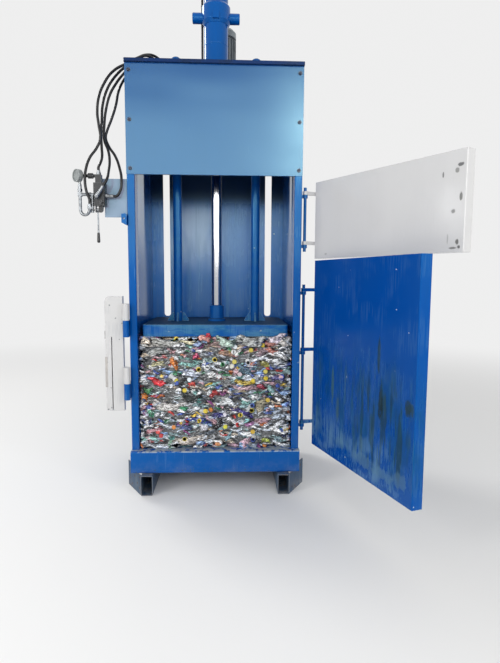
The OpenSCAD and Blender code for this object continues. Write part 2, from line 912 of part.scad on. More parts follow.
module valve_block() {
    color(dark) {
        // Body with chamfered edges
        translate([valve_x0 + valve_w / 2, valve_y, valve_z0]) linear_extrude(valve_h) difference() {
            square([valve_w, valve_d], center = true);
            for (x = [-1, 1], y = [-1, 1]) translate([x * valve_w / 2, y * valve_d / 2])
                rotate(45) square(9, center = true);
        }
        // Upper port block
        block(port_x - 19, port_x + 19, valve_y - 16, valve_y + 16, valve_z0 + valve_h,
            valve_z0 + valve_h + port_h);
        // Cheeks that hold the lever
        block(lever_x - 13, lever_x - 8, valve_y - 13, valve_y + 13, lever_z - 16, valve_z0);
        translate([lever_x + 35, valve_y + 13, valve_z0]) rotate([90, 180, 0]) linear_extrude(26)
            polygon([[0, 0], [27, 0], [27, 40], [14, 40], [3, 30]]);
        translate([lever_x, valve_y, lever_z]) rod_x(-13, 13, lever_pin_r);
        // Relief cap on the front
        translate([valve_x0 + 50, valve_front, valve_z0 + 20]) rotate([90, 0, 0]) {
            hex_nut(10, 12);
            cylinder(h = 20, r = 8);
        }
        // Pipe to the back of the gauge, with its coupling
        difference() {
            translate([port_x - 19, valve_y, gauge_z]) {
                rod_x(gauge_x - port_x + 19, 0, 10);
                rod_x(-46, -16, 17);
            }
            on_gauge_back() cylinder(h = gauge_d, r = gauge_d);
        }
    }
}

// Nut and sleeve at a hose end, along +Z from the seat
module ferrule(reach) {
    hex_nut(14, 15);
    cylinder(h = reach, r = 11);
}

// Tee at the left of the valve with the return bend below it
module return_bend() {
    translate([tee_x, valve_y, 0]) {
        translate([0, 0, arm_z]) {
            cube([25, 25, 25], center = true);
            rod_x(12, valve_x0 - tee_x, 10);
            rod_x(54, 68, 14);
            cylinder(h = 62, r = 11);
            translate([0, 0, 18]) hex_nut(16, 15);
        }
        rotate([0, 0, -bend_turn]) translate([bend_r, 0, bend_z]) rotate([-90, 0, 0]) {
            rotate_extrude(angle = 180) translate([bend_r, 0]) circle(9.5, $fn = 24);
            translate([-bend_r, 0, 0]) rotate([90, 0, 0]) cylinder(h = arm_z - bend_z - 12, r = 9.5);
            translate([bend_r, 0, 0]) rotate([90, 0, 0]) {
                cylinder(h = 30, r = 12);
                cylinder(h = 14, r = 15, $fn = 6);
            }
        }
    }
}

module relief_cartridge() {
    translate([cartridge_x, valve_y, arm_z]) mirror([0, 0, 1]) {
        cylinder(h = 112, r = 10);
        translate([0, 0, 24]) cylinder(h = 62, r = 12);
        translate([0, 0, 34]) hex_nut(14, 14);
        translate([0, 0, 90]) hex_nut(12, 14);
    }
}

module hose_fittings() {
    color(steel) {
        return_bend();
        relief_cartridge();
        // Second hose on the upper port block
        translate([port_x, valve_y, valve_z0 + valve_h + port_h]) ferrule(26);
        // Third hose across the front
        translate([valve_x0 + 26, valve_front, valve_z0 + 51]) rotate([90, 0, 0]) hex_nut(22, 13);
        translate([valve_x0 + 26, valve_front - 22, valve_z0 + 51]) rotate([0, 33, 0]) {
            sphere(13);
            cylinder(h = 76, r = 11);
        }
        // Inner hose at the right of the valve
        translate([valve_x0 + valve_w, valve_y, valve_z0 + 62]) rotate([0, 90, 0]) ferrule(48);
        // Hose ends on the tank and the head
        for (y = [170, 230]) translate([tank_x - tank_w / 2, y, tank_z + 111])
            rotate([0, -90, 0]) ferrule(32);
        translate([-150, 80, top_z + top_t]) ferrule(42);
        translate([-pipe_x - 20, pipe_y, pipe_z0]) rotate([0, -90, 0]) cylinder(h = 12, r = 11);
    }
}

// Round gauge that faces left, on a neck above the tee
module gauge() {
    neck_z = arm_z + 62;
    color([0.5, 0.5, 0.5]) {
        on_gauge_back() difference() {
            cylinder(h = gauge_t, r = gauge_d / 2);
            translate([0, 0, gauge_t - 5]) cylinder(h = gauge_t, r = gauge_d / 2 - 5);
        }
        translate([tee_x, valve_y, neck_z]) cylinder(h = gauge_z - neck_z - gauge_d / 2 + 5, r = 8);
    }
}

// Lever that works the valve, hanging straight down at rest
module valve_lever() {
    color(steel) translate([lever_x, valve_y, lever_z]) difference() {
        union() {
            rod_x(-7.5, 7.5, 9);
            translate([0, 0, -lever_len]) cylinder(h = lever_len, r = 5);
        }
        rod_x(-8, 8, lever_pin_r + run_gap);
    }
}

module lever_grip() {
    rod_end = 40;
    color(dark) translate([lever_x, valve_y, lever_z - lever_len - grip_len + rod_end]) difference() {
        union() {
            translate([0, 0, 8]) cylinder(h = grip_len - 8, r1 = 10, r2 = 8);
            translate([0, 0, 9]) sphere(9.8);
        }
        translate([0, 0, grip_len - rod_end]) cylinder(h = rod_end + 1, r = 5);
    }
}

// Hoses

function unit(v) = v / norm(v);

// Direction of a route at one of its points
function heading(route, i) =
    let (last = len(route) - 1)
    unit(route[min(i + 1, last)] - route[max(i - 1, 0)]);

// Ring of points round a route, square to its heading
function ring(route, i, r, sides) =
    let (
        t = heading(route, i),
        side = unit(cross(t, [0.35, 1, 0.2])),
        up = cross(side, t)
    )
    [for (k = [0:sides - 1]) route[i] + r * (cos(k * 360 / sides) * side + sin(k * 360 / sides) * up)];

// Moves a route with its two ends, smoothly along its length
function carried(route, start, finish) =
    let (last = len(route) - 1)
    [for (i = [0:last]) let (t = i / last, w = t * t * (3 - 2 * t)) route[i] + (1 - w) * start + w * finish];

// How far the valve, the tank and the cylinder pipe have moved from where the routes were laid
valve_shift = [LAID_HALF_W - half_w, front_y - LAID_FRONT_Y, top_z - LAID_TOP_Z];
head_shift = [0, 0, top_z - LAID_TOP_Z];
tank_shift = [tank_x - tank_w / 2 - LAID_TANK_X0, 0, top_z - LAID_TOP_Z];
pipe_shift = [LAID_TUBE_R - tube_r, 0, top_z - LAID_TOP_Z];

module hose(route, sides = 10) {
    n = len(route);
    points = [for (i = [0:n - 1]) each ring(route, i, hose_d / 2, sides)];
    walls = [for (i = [0:n - 2], k = [0:sides - 1], half = [0, 1])
        let (a = i * sides + k, b = i * sides + (k + 1) % sides)
        half == 0 ? [a, b, b + sides] : [a, b + sides, a + sides]];
    start = [for (k = [sides - 1:-1:0]) k];
    finish = [for (k = [0:sides - 1]) (n - 1) * sides + k];
    polyhedron(points = points, faces = concat([start], walls, [finish]));
}

module hose_outer() {
    color(dark) hose(carried(OUTER_ROUTE, pipe_shift, valve_shift));
}

module hose_second() {
    color(dark) hose(carried(SECOND_ROUTE, head_shift, valve_shift));
}

module hose_third() {
    color(dark) hose(carried(THIRD_ROUTE, tank_shift, valve_shift));
}

module hose_inner() {
    color(dark) hose(carried(INNER_ROUTE, tank_shift, valve_shift));
}

// Bale of pressed plastic, in uneven layers

module bale() {
    step = bale_h / bale_layers;
    color([0.6, 0.66, 0.64]) for (i = [0:bale_layers - 1])
        translate([0, 0, base_z + i * step]) linear_extrude(step) bale_outline(i);
}

// Outline of one layer, bulging a little more in every other layer. The top one reaches furthest forward
module bale_outline(i) {
    top = i == bale_layers - 1;
    swell = 4 + 3 * sin(i * 137);
    wave = top ? 0 : 5;
    y0 = top ? edge_y + edge_gap : front_y + bale_in - swell;
    y1 = back_y - 8;
    x1 = inner_x - 10 + swell;
    front = [for (k = [0:24]) [x1 - k * x1 / 12, y0 + wave * sin(k * 55 + i * 80)]];
    polygon(concat(front, [[-x1, y1 - 12], [-x1 + 12, y1], [x1 - 12, y1], [x1, y1 - 12]]));
}

// Ragged edge of bottles that stands up in front of the platen
module bale_edge() {
    n = 22;
    half = inner_x - 16;
    step = 2 * half / n;
    top = [for (k = [0:n]) [-half + k * step, bale_top + 8 + 17 * sin(k * 71) * cos(k * 37)]];
    foot = [for (k = [n:-1:0]) [-half + k * step, bale_top - 46 - 22 * sin(k * 97)]];
    color([0.6, 0.66, 0.64]) translate([0, edge_y, 0]) rotate([90, 0, 0]) linear_extrude(edge_t)
        polygon(concat(top, foot));
}

// Ram

module piston_rod() {
    color([0.85, 0.85, 0.86]) translate([0, 0, platen_top])
        cylinder(h = piston_top - platen_top, r = rod_d / 2);
}

module piston() {
    color(steel) translate([0, 0, piston_z]) difference() {
        cylinder(h = piston_h, r = bore_r - run_gap);
        translate([0, 0, -1]) cylinder(h = piston_h + 2, r = rod_d / 2);
    }
}

module rod_boss() {
    r = rod_d / 2 + 15;
    color(blue) translate([0, 0, platen_top]) rotate_extrude()
        polygon([[rod_d / 2, 0], [r + 12, 0], [r + 12, 14], [r, 22], [r, boss_h - 6],
            [r - 6, boss_h], [rod_d / 2, boss_h]]);
}

module platen() {
    z1 = platen_top;
    rib = 8;
    color(blue) {
        difference() {
            translate([0, 0, platen_z]) linear_extrude(platen_h)
                rounded_rect(2 * platen_x, 2 * platen_y, 20);
            translate([0, 0, platen_z - 1]) linear_extrude(platen_h - 9)
                rounded_rect(2 * platen_x - 20, 2 * platen_y - 20, 12);
        }
        // Ribs beside each strap groove
        for (i = [-1:1], side = [-1, 1]) translate([i * slot_pitch + side * (slot_w / 2 + rib / 2) - rib / 2,
            -platen_y + 9, platen_z + 12]) cube([rib, 2 * platen_y - 18, platen_h - 21]);
        // Feet of the guide pipes
        for (side = [-1, 1]) translate([side * guide_x, 0, z1]) guide_foot();
    }
}

// Gusset plates that hold a guide pipe upright
module guide_foot() {
    r = guide_d / 2;
    for (a = [0:90:270]) rotate([0, 0, a]) translate([r, 5, 0]) rotate([90, 0, 0]) linear_extrude(10)
        polygon([[0, 0], [45, 0], [45, 8], [10, 60], [0, 60]]);
}

// Pressing face in strips inside the skirt, open under each strap groove
module platen_face() {
    e = slot_w / 2;
    spans = [[-platen_x, -slot_pitch - e], [-slot_pitch + e, -e], [e, slot_pitch - e],
        [slot_pitch + e, platen_x]];
    color(blue) intersection() {
        translate([0, 0, platen_z]) linear_extrude(12)
            rounded_rect(2 * platen_x - 20, 2 * platen_y - 20, 12);
        for (s = spans) block(s[0], s[1], -platen_y, platen_y, platen_z, platen_z + 12);
    }
}

// Guide pipe with a domed cap
module guide_pipe() {
    r = guide_d / 2;
    dome = 14;
    translate([0, 0, platen_top]) rotate_extrude() {
        translate([r - 5, 0]) square([5, guide_top - platen_top - dome]);
        translate([0, guide_top - platen_top - dome]) intersection() {
            square([r, dome]);
            translate([0, dome - (r * r + dome * dome) / (2 * dome)])
                circle((r * r + dome * dome) / (2 * dome), $fn = 128);
        }
    }
}

module guide_left() {
    color(blue) translate([-guide_x, 0, 0]) guide_pipe();
}

module guide_right() {
    color(blue) translate([guide_x, 0, 0]) guide_pipe();
}

foot_left();
foot_right();
front_sill();
rear_sill();
side_rail_left();
side_rail_right();
floor_deck();
post_front_left();
post_front_right();
post_rear_left();
post_rear_right();
side_wall_left();
side_wall_right();
back_wall();
back_ribs();
head_beams();
top_plate();
cover_panel();
cover_bolts();
cylinder_tube();
trunnion_collar();
cylinder_cap();
cylinder_gland();
cylinder_flange();
cylinder_pipe();
guide_bushes();
oil_tank();
motor();
motor_cowl();
hinge_lugs();
lower_hinge_rod();
upper_hinge_rod();
latch_lugs();
latch_pins();
door_keeper();
valve_bracket();
valve_block();
hose_fittings();
gauge();
hose_outer();
hose_second();
hose_third();
hose_inner();
bale();
bale_edge();
piston_rod();
piston();
rod_boss();
platen();
platen_face();
guide_left();
guide_right();
lower_door();
lower_door_frame();
upper_door();
upper_door_frame();
latch_bar();
latch_handle();
valve_lever();
lever_grip();
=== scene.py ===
"""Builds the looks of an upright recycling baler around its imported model."""

import math
import random

import bmesh
import bpy
import numpy as np
from mathutils import Matrix, Vector


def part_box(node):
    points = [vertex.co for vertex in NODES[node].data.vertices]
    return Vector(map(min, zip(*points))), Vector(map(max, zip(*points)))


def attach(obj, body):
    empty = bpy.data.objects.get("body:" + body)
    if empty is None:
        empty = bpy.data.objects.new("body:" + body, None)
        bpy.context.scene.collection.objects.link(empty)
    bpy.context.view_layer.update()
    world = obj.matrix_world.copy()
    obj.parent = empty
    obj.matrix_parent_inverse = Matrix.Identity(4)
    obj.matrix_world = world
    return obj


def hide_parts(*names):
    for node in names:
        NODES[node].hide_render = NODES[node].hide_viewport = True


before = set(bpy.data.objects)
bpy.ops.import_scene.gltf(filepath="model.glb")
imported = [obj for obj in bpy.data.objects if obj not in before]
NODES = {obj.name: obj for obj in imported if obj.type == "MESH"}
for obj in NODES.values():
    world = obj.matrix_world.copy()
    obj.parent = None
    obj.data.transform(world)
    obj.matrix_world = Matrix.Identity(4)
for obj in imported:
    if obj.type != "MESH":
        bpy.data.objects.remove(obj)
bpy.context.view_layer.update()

bl_info = {
    "name": "Recycling baler",
    "version": (1, 0, 0),
    "blender": (4, 5, 0),
    "location": "View3D > Sidebar > Baler",
    "description": "Finishes, hoses and pressed bale of an upright baling press",
    "category": "Object",
}

# Hose routes along their centrelines, in metres, from the cylinder or the tank to the valve
HOSE_ROUTES = {
    "hose_outer": (
        (-0.130, 0.050, 2.850), (-0.150, 0.050, 2.850), (-0.255, 0.062, 2.860),
        (-0.330, 0.042, 2.882), (-0.395, -0.015, 2.908), (-0.455, -0.080, 2.925),
        (-0.510, -0.135, 2.892), (-0.560, -0.185, 2.842), (-0.654, -0.285, 2.738),
        (-0.701, -0.315, 2.655), (-0.729, -0.335, 2.571), (-0.739, -0.345, 2.472),
        (-0.730, -0.352, 2.394), (-0.721, -0.358, 2.310), (-0.741, -0.364, 2.255),
        (-0.785, -0.380, 2.185), (-0.805, -0.397, 2.115), (-0.811, -0.406, 2.045),
        (-0.801, -0.409, 1.970), (-0.785, -0.409, 1.925), (-0.785, -0.409, 1.897),
    ),
    "hose_second": (
        (-0.150, 0.080, 2.831), (-0.150, 0.080, 2.850), (-0.170, 0.086, 2.880),
        (-0.255, 0.090, 2.905), (-0.325, 0.070, 2.918), (-0.380, 0.030, 2.940),
        (-0.425, -0.010, 2.956), (-0.470, -0.052, 2.945), (-0.514, -0.100, 2.908),
        (-0.568, -0.158, 2.842), (-0.647, -0.262, 2.713), (-0.689, -0.288, 2.629),
        (-0.714, -0.306, 2.528), (-0.719, -0.316, 2.433), (-0.724, -0.324, 2.339),
        (-0.720, -0.332, 2.260), (-0.716, -0.346, 2.200), (-0.723, -0.368, 2.155),
        (-0.731, -0.382, 2.128), (-0.731, -0.382, 2.108),
    ),
    "hose_third": (
        (-0.232, 0.170, 2.900), (-0.250, 0.170, 2.900), (-0.370, 0.120, 2.935),
        (-0.450, 0.045, 2.945), (-0.520, -0.040, 2.915), (-0.565, -0.110, 2.855),
        (-0.600, -0.168, 2.780), (-0.637, -0.250, 2.684), (-0.675, -0.270, 2.605),
        (-0.700, -0.282, 2.504), (-0.710, -0.292, 2.409), (-0.710, -0.300, 2.315),
        (-0.684, -0.314, 2.249), (-0.671, -0.338, 2.186), (-0.668, -0.390, 2.099),
        (-0.672, -0.432, 2.040), (-0.682, -0.436, 2.022), (-0.693, -0.436, 2.005),
    ),
    "hose_inner": (
        (-0.232, 0.230, 2.900), (-0.250, 0.230, 2.900), (-0.390, 0.170, 2.920),
        (-0.470, 0.085, 2.915), (-0.535, -0.005, 2.865), (-0.586, -0.095, 2.795),
        (-0.606, -0.180, 2.725), (-0.628, -0.235, 2.635), (-0.642, -0.252, 2.548),
        (-0.671, -0.264, 2.452), (-0.697, -0.272, 2.382), (-0.706, -0.276, 2.336),
        (-0.686, -0.284, 2.281), (-0.644, -0.304, 2.219), (-0.609, -0.345, 2.139),
        (-0.591, -0.374, 2.056), (-0.599, -0.381, 1.986), (-0.624, -0.382, 1.952),
        (-0.642, -0.382, 1.952),
    ),
}


class BALER_PaintSettings(bpy.types.PropertyGroup):
    """Paint colours and how worn they are."""

    main_blue: bpy.props.FloatVectorProperty(
        name="Main blue", description="Colour of the frame, the ram and the lower door",
        size=3, subtype="COLOR", min=0.0, max=1.0, default=(0.0, 0.064, 0.290))
    dark_blue: bpy.props.FloatVectorProperty(
        name="Dark blue", description="Colour of the plate under the cylinder",
        size=3, subtype="COLOR", min=0.0, max=1.0, default=(0.0, 0.010, 0.060))
    grey_white: bpy.props.FloatVectorProperty(
        name="Grey white", description="Colour of the upper door and the latch",
        size=3, subtype="COLOR", min=0.0, max=1.0, default=(0.585, 0.580, 0.575))
    wear: bpy.props.FloatProperty(
        name="Wear", description="How much paint has worn off edges and faces",
        subtype="FACTOR", min=0.0, max=1.0, default=0.5)


class BALER_HoseSettings(bpy.types.PropertyGroup):
    """Size and colour of the hydraulic hoses."""

    diameter: bpy.props.FloatProperty(
        name="Diameter", description="Outside diameter of a hose",
        unit="LENGTH", min=0.008, max=0.03, default=0.017)
    rubber: bpy.props.FloatVectorProperty(
        name="Rubber", description="Colour of the hoses' cover",
        size=3, subtype="COLOR", min=0.0, max=1.0, default=(0.006, 0.006, 0.007))


class BALER_BaleSettings(bpy.types.PropertyGroup):
    """How the pressed bale is layered."""

    rows: bpy.props.IntProperty(
        name="Rows", description="Layers of crushed bottles in the height of the bale",
        min=16, max=48, default=27)
    seed: bpy.props.IntProperty(
        name="Seed", description="Starting number of the bottles' random places",
        min=0, max=9999, default=7)


class BALER_StageSettings(bpy.types.PropertyGroup):
    """Floor colour and light level."""

    floor: bpy.props.FloatVectorProperty(
        name="Floor", description="Colour of the floor and the backdrop",
        size=3, subtype="COLOR", min=0.0, max=1.0, default=(0.80, 0.79, 0.77))
    sky: bpy.props.FloatProperty(
        name="Sky strength", description="Brightness of the even light from all round",
        min=0.0, max=3.0, default=0.58)
    lamps: bpy.props.FloatProperty(
        name="Lamp strength", description="Share of the lamps' full power",
        min=0.0, max=4.0, default=1.0)


# Node wiring


def join(tree, value, socket):
    """Joins another node's output to a socket, or sets the socket to a plain value."""
    if isinstance(value, bpy.types.NodeSocket):
        tree.links.new(value, socket)
    elif socket.type == "RGBA" and len(value) == 3:
        socket.default_value = (*value, 1.0)
    else:
        socket.default_value = value


def add(tree, kind, inputs=(), **settings):
    """Adds a node, sets its properties, and sets or joins its inputs by name or number."""
    node = tree.nodes.new(kind)
    for key, value in settings.items():
        setattr(node, key, value)
    for key, value in dict(inputs).items():
        join(tree, value, node.inputs[key])
    return node


def calc(tree, operation, a, b=0.0):
    """A Math node's value."""
    return add(tree, "ShaderNodeMath", {0: a, 1: b}, operation=operation).outputs[0]


def times(tree, first, *others):
    """Values multiplied together."""
    for other in others:
        first = calc(tree, "MULTIPLY", first, other)
    return first


def here(tree):
    """The place of the shaded point in its piece's own coordinates."""
    return add(tree, "ShaderNodeTexCoord").outputs["Object"]


def along(tree, vector, axis):
    """How far a vector goes along X, Y or Z."""
    return add(tree, "ShaderNodeSeparateXYZ", {0: vector}).outputs[axis]


def scaled(tree, vector, size):
    """A vector times a value."""
    return add(tree, "ShaderNodeVectorMath", {0: vector, "Scale": size}, operation="SCALE").outputs[0]


def remap(tree, value, low, high, to_low=0.0, to_high=1.0):
    """A value smoothly mapped from one range to another and held inside it."""
    return add(tree, "ShaderNodeMapRange", {
        "Value": value, "From Min": low, "From Max": high, "To Min": to_low, "To Max": to_high,
    }, interpolation_type="SMOOTHSTEP").outputs[0]


def mix_colour(tree, mask, a, b):
    """Colour a going to colour b where the mask is 1."""
    return add(tree, "ShaderNodeMix", {0: mask, 6: a, 7: b}, data_type="RGBA").outputs[2]


def mix_value(tree, mask, a, b):
    """Value a going to value b where the mask is 1."""
    return add(tree, "ShaderNodeMix", {0: mask, 2: a, 3: b}, data_type="FLOAT").outputs[0]


def noise(tree, place, scale, detail, rough=0.5, output="Fac"):
    """Noise at a place. Scale is per metre."""
    return add(tree, "ShaderNodeTexNoise", {
        "Vector": place, "Scale": scale, "Detail": detail, "Roughness": rough}).outputs[output]


def grain(tree, scale, stretch=(1.0, 1.0, 1.0), detail=3.0, rough=0.55):
    """Noise in the piece's own coordinates, stretched along the axes."""
    place = add(tree, "ShaderNodeMapping", {"Vector": here(tree), "Scale": stretch}).outputs[0]
    return noise(tree, place, scale, detail, rough)


def heights(tree):
    """The height above the floor of the point being shaded."""
    return along(tree, here(tree), "Z")


# Shared effects, each a node group built once

COLOUR_AND_HEIGHT = (("Colour", "Color"), ("Height", "Float"))


def start_group(name, inputs, outputs=(("Mask", "Float"),)):
    """A new node group, with its input sockets and its output sockets, one mask unless others are given."""
    tree = bpy.data.node_groups.new(name, "ShaderNodeTree")
    for label, value in inputs.items():
        kind = "NodeSocketColor" if hasattr(value, "__len__") else "NodeSocketFloat"
        socket = tree.interface.new_socket(name=label, in_out="INPUT", socket_type=kind)
        socket.default_value = (*value, 1.0) if hasattr(value, "__len__") else value
    for label, kind in outputs:
        tree.interface.new_socket(name=label, in_out="OUTPUT", socket_type="NodeSocket" + kind)
    return tree, add(tree, "NodeGroupInput").outputs, add(tree, "NodeGroupOutput").inputs


def make_uneven_paint():
    """Sprayed paint: slow lighter and darker clouds, faint runs and a fine orange peel."""
    tree, given, out = start_group("Uneven Paint", {
        "Colour": (0.5, 0.5, 0.5), "Spread": 0.15, "Scale": 3.0}, COLOUR_AND_HEIGHT)
    clouds = noise(tree, here(tree), given["Scale"], 4.0, 0.6)
    runs = grain(tree, 9.0, (1.0, 1.0, 0.12))
    blend = mix_value(tree, 0.4, clouds, runs)
    level = times(tree, calc(tree, "SUBTRACT", blend, 0.5), given["Spread"])
    level = calc(tree, "ADD", times(tree, level, 4.0), 1.0)
    tree.links.new(scaled(tree, given["Colour"], level), out["Colour"])
    tree.links.new(grain(tree, 260.0, detail=1.0), out["Height"])
    return tree


def make_worn_edges():
    """Where outer edges have lost their paint, broken up by noise."""
    tree, given, out = start_group("Worn Edges", {"Width": 0.003, "Share": 0.5, "Grain": 40.0})
    rounded = add(tree, "ShaderNodeBevel", {"Radius": given["Width"]}, samples=6).outputs[0]
    true = add(tree, "ShaderNodeNewGeometry").outputs["Normal"]
    alike = add(tree, "ShaderNodeVectorMath", {0: rounded, 1: true}, operation="DOT_PRODUCT").outputs["Value"]
    edge = remap(tree, calc(tree, "SUBTRACT", 1.0, alike), 0.02, 0.16)
    broken = noise(tree, here(tree), given["Grain"], 4.0, 0.65)
    floor = calc(tree, "SUBTRACT", 0.78, times(tree, given["Share"], 0.5))
    kept = remap(tree, broken, floor, calc(tree, "ADD", floor, 0.08))
    tree.links.new(times(tree, edge, kept), out["Mask"])
    return tree


def make_streaks():
    """Upright runs and rubs, narrow across and long in height."""
    tree, given, out = start_group("Streaks", {
        "Scale": 30.0, "Length": 12.0, "Share": 0.4, "Softness": 0.12})
    parts = add(tree, "ShaderNodeSeparateXYZ", {0: here(tree)}).outputs
    tall = calc(tree, "DIVIDE", parts["Z"], given["Length"])
    place = add(tree, "ShaderNodeCombineXYZ", {"X": parts["X"], "Y": parts["Y"], "Z": tall}).outputs[0]
    lines = noise(tree, place, given["Scale"], 3.0, 0.6)
    floor = calc(tree, "SUBTRACT", 0.75, times(tree, given["Share"], 0.5))
    top = calc(tree, "ADD", floor, given["Softness"])
    tree.links.new(remap(tree, lines, floor, top), out["Mask"])
    return tree


def make_chips():
    """Small flakes of missing paint, one in some cells of a grid."""
    tree, given, out = start_group("Chips", {"Scale": 60.0, "Share": 0.1, "Size": 0.25})
    place = here(tree)
    ragged = scaled(tree, noise(tree, place, 90.0, 2.0, output="Color"), 0.012)
    place = add(tree, "ShaderNodeVectorMath", {0: place, 1: ragged}, operation="ADD").outputs[0]
    cells = add(tree, "ShaderNodeTexVoronoi", {"Vector": place, "Scale": given["Scale"]}).outputs
    chosen = add(tree, "ShaderNodeSeparateColor", {0: cells["Color"]}).outputs[0]
    chosen = calc(tree, "LESS_THAN", chosen, given["Share"])
    size = calc(tree, "LESS_THAN", cells["Distance"], given["Size"])
    tree.links.new(times(tree, chosen, size), out["Mask"])
    return tree


def make_scratches():
    """Fine scratches that run mostly up and down, with some across."""
    tree, given, out = start_group("Scratches", {"Scale": 1.0, "Share": 0.3})
    floor = calc(tree, "SUBTRACT", 0.80, times(tree, given["Share"], 0.3))
    top = calc(tree, "ADD", floor, 0.05)
    place = scaled(tree, here(tree), given["Scale"])
    masks = []
    for turn, length in (((0.0, 0.12, 0.0), 0.03), ((0.0, -0.25, 0.1), 0.05), ((0.1, 1.35, 0.0), 0.06)):
        laid = add(tree, "ShaderNodeMapping", {
            "Vector": place, "Rotation": turn, "Scale": (1.0, 1.0, length)}).outputs[0]
        masks.append(remap(tree, noise(tree, laid, 120.0, 2.0), floor, top))
    both = calc(tree, "MAXIMUM", calc(tree, "MAXIMUM", masks[0], masks[1]), masks[2])
    patches = remap(tree, grain(tree, 5.0, detail=2.0), 0.45, 0.6)
    tree.links.new(times(tree, both, patches), out["Mask"])
    return tree


def make_dust():
    """Grey dust that lies on upward faces and thickens towards the floor."""
    tree, given, out = start_group("Settled Dust", {"Low": 0.1, "High": 0.5, "Share": 0.4})
    near_floor = calc(tree, "SUBTRACT", 1.0, remap(tree, heights(tree), given["Low"], given["High"]))
    normal = add(tree, "ShaderNodeNewGeometry").outputs["Normal"]
    upward = remap(tree, along(tree, normal, "Z"), 0.4, 0.9)
    lies = calc(tree, "MAXIMUM", near_floor, times(tree, upward, 0.8))
    specks = remap(tree, grain(tree, 14.0, detail=6.0, rough=0.7), 0.35, 0.7)
    tree.links.new(times(tree, lies, specks, given["Share"]), out["Mask"])
    return tree


def make_smear():
    """A ragged patch round a place on a flat face, given by the way across it and the height."""
    tree, given, out = start_group("Smear", {
        "Across": 0.0, "Up": 0.0, "At Across": 0.5, "At Up": 1.0, "Half Width": 0.05, "Half Height": 0.2,
        "Raggedness": 0.6})
    squares = []
    for way, half in (("Across", "Half Width"), ("Up", "Half Height")):
        offset = calc(tree, "SUBTRACT", given[way], given["At " + way])
        offset = calc(tree, "DIVIDE", offset, given[half])
        squares.append(times(tree, offset, offset))
    reach = calc(tree, "ADD", *squares)
    streaky = grain(tree, 26.0, (1.0, 1.0, 0.16), 4.0, 0.65)
    blotchy = grain(tree, 34.0, detail=4.0, rough=0.7)
    broken = calc(tree, "SUBTRACT", mix_value(tree, 0.4, streaky, blotchy), 0.5)
    broken = times(tree, broken, given["Raggedness"], 6.0)
    tree.links.new(remap(tree, calc(tree, "ADD", reach, broken), 1.0, 0.35), out["Mask"])
    return tree


def make_crumple():
    """Crushed clear plastic: painted shade in its creases and trapped shadows, painted highlights on bright
    folds, drawn out sideways.
    """
    tree, given, out = start_group("Crumple", {
        "Tint": (0.5, 0.5, 0.5), "Scale": 60.0, "Depth": 0.8}, COLOUR_AND_HEIGHT)
    place = here(tree)
    wave = scaled(tree, noise(tree, place, 22.0, 2.0, output="Color"), 0.05)
    place = add(tree, "ShaderNodeVectorMath", {0: place, 1: wave}, operation="ADD").outputs[0]
    laid = add(tree, "ShaderNodeMapping", {"Vector": place, "Scale": (0.30, 0.7, 1.5)}).outputs[0]
    folds = add(tree, "ShaderNodeTexVoronoi", {
        "Vector": laid, "Scale": given["Scale"]}, feature="DISTANCE_TO_EDGE").outputs["Distance"]
    small = noise(tree, laid, times(tree, given["Scale"], 1.6), 4.0, 0.65)
    # Painted shade along the creases, and painted light and shade from the fine noise.
    crease = calc(tree, "SUBTRACT", 1.0, remap(tree, folds, 0.0, 0.12))
    shade = remap(tree, small, 0.375, 0.575, 0.0, 2.08)
    shade = times(tree, shade, calc(tree, "SUBTRACT", 1.0, times(tree, crease, 0.5)))
    level = mix_value(tree, given["Depth"], 1.0, shade)
    tone = scaled(tree, given["Tint"], level)
    # Painted highlight: glints on the folds, mixed towards near white.
    glint = remap(tree, small, 0.58, 0.68)
    tone = mix_colour(tree, times(tree, glint, given["Depth"]), tone, (0.85, 0.88, 0.9))
    tree.links.new(tone, out["Colour"])
    height = calc(tree, "ADD", small, times(tree, folds, 1.2))
    tree.links.new(height, out["Height"])
    return tree


EFFECTS = {}


def effect_group(name):
    """The node group of that name, built when it is first asked for."""
    makers = {"Uneven Paint": make_uneven_paint, "Worn Edges": make_worn_edges, "Streaks": make_streaks,
              "Chips": make_chips, "Scratches": make_scratches, "Settled Dust": make_dust,
              "Smear": make_smear, "Crumple": make_crumple}
    if name not in EFFECTS:
        EFFECTS[name] = makers[name]()
    return EFFECTS[name]


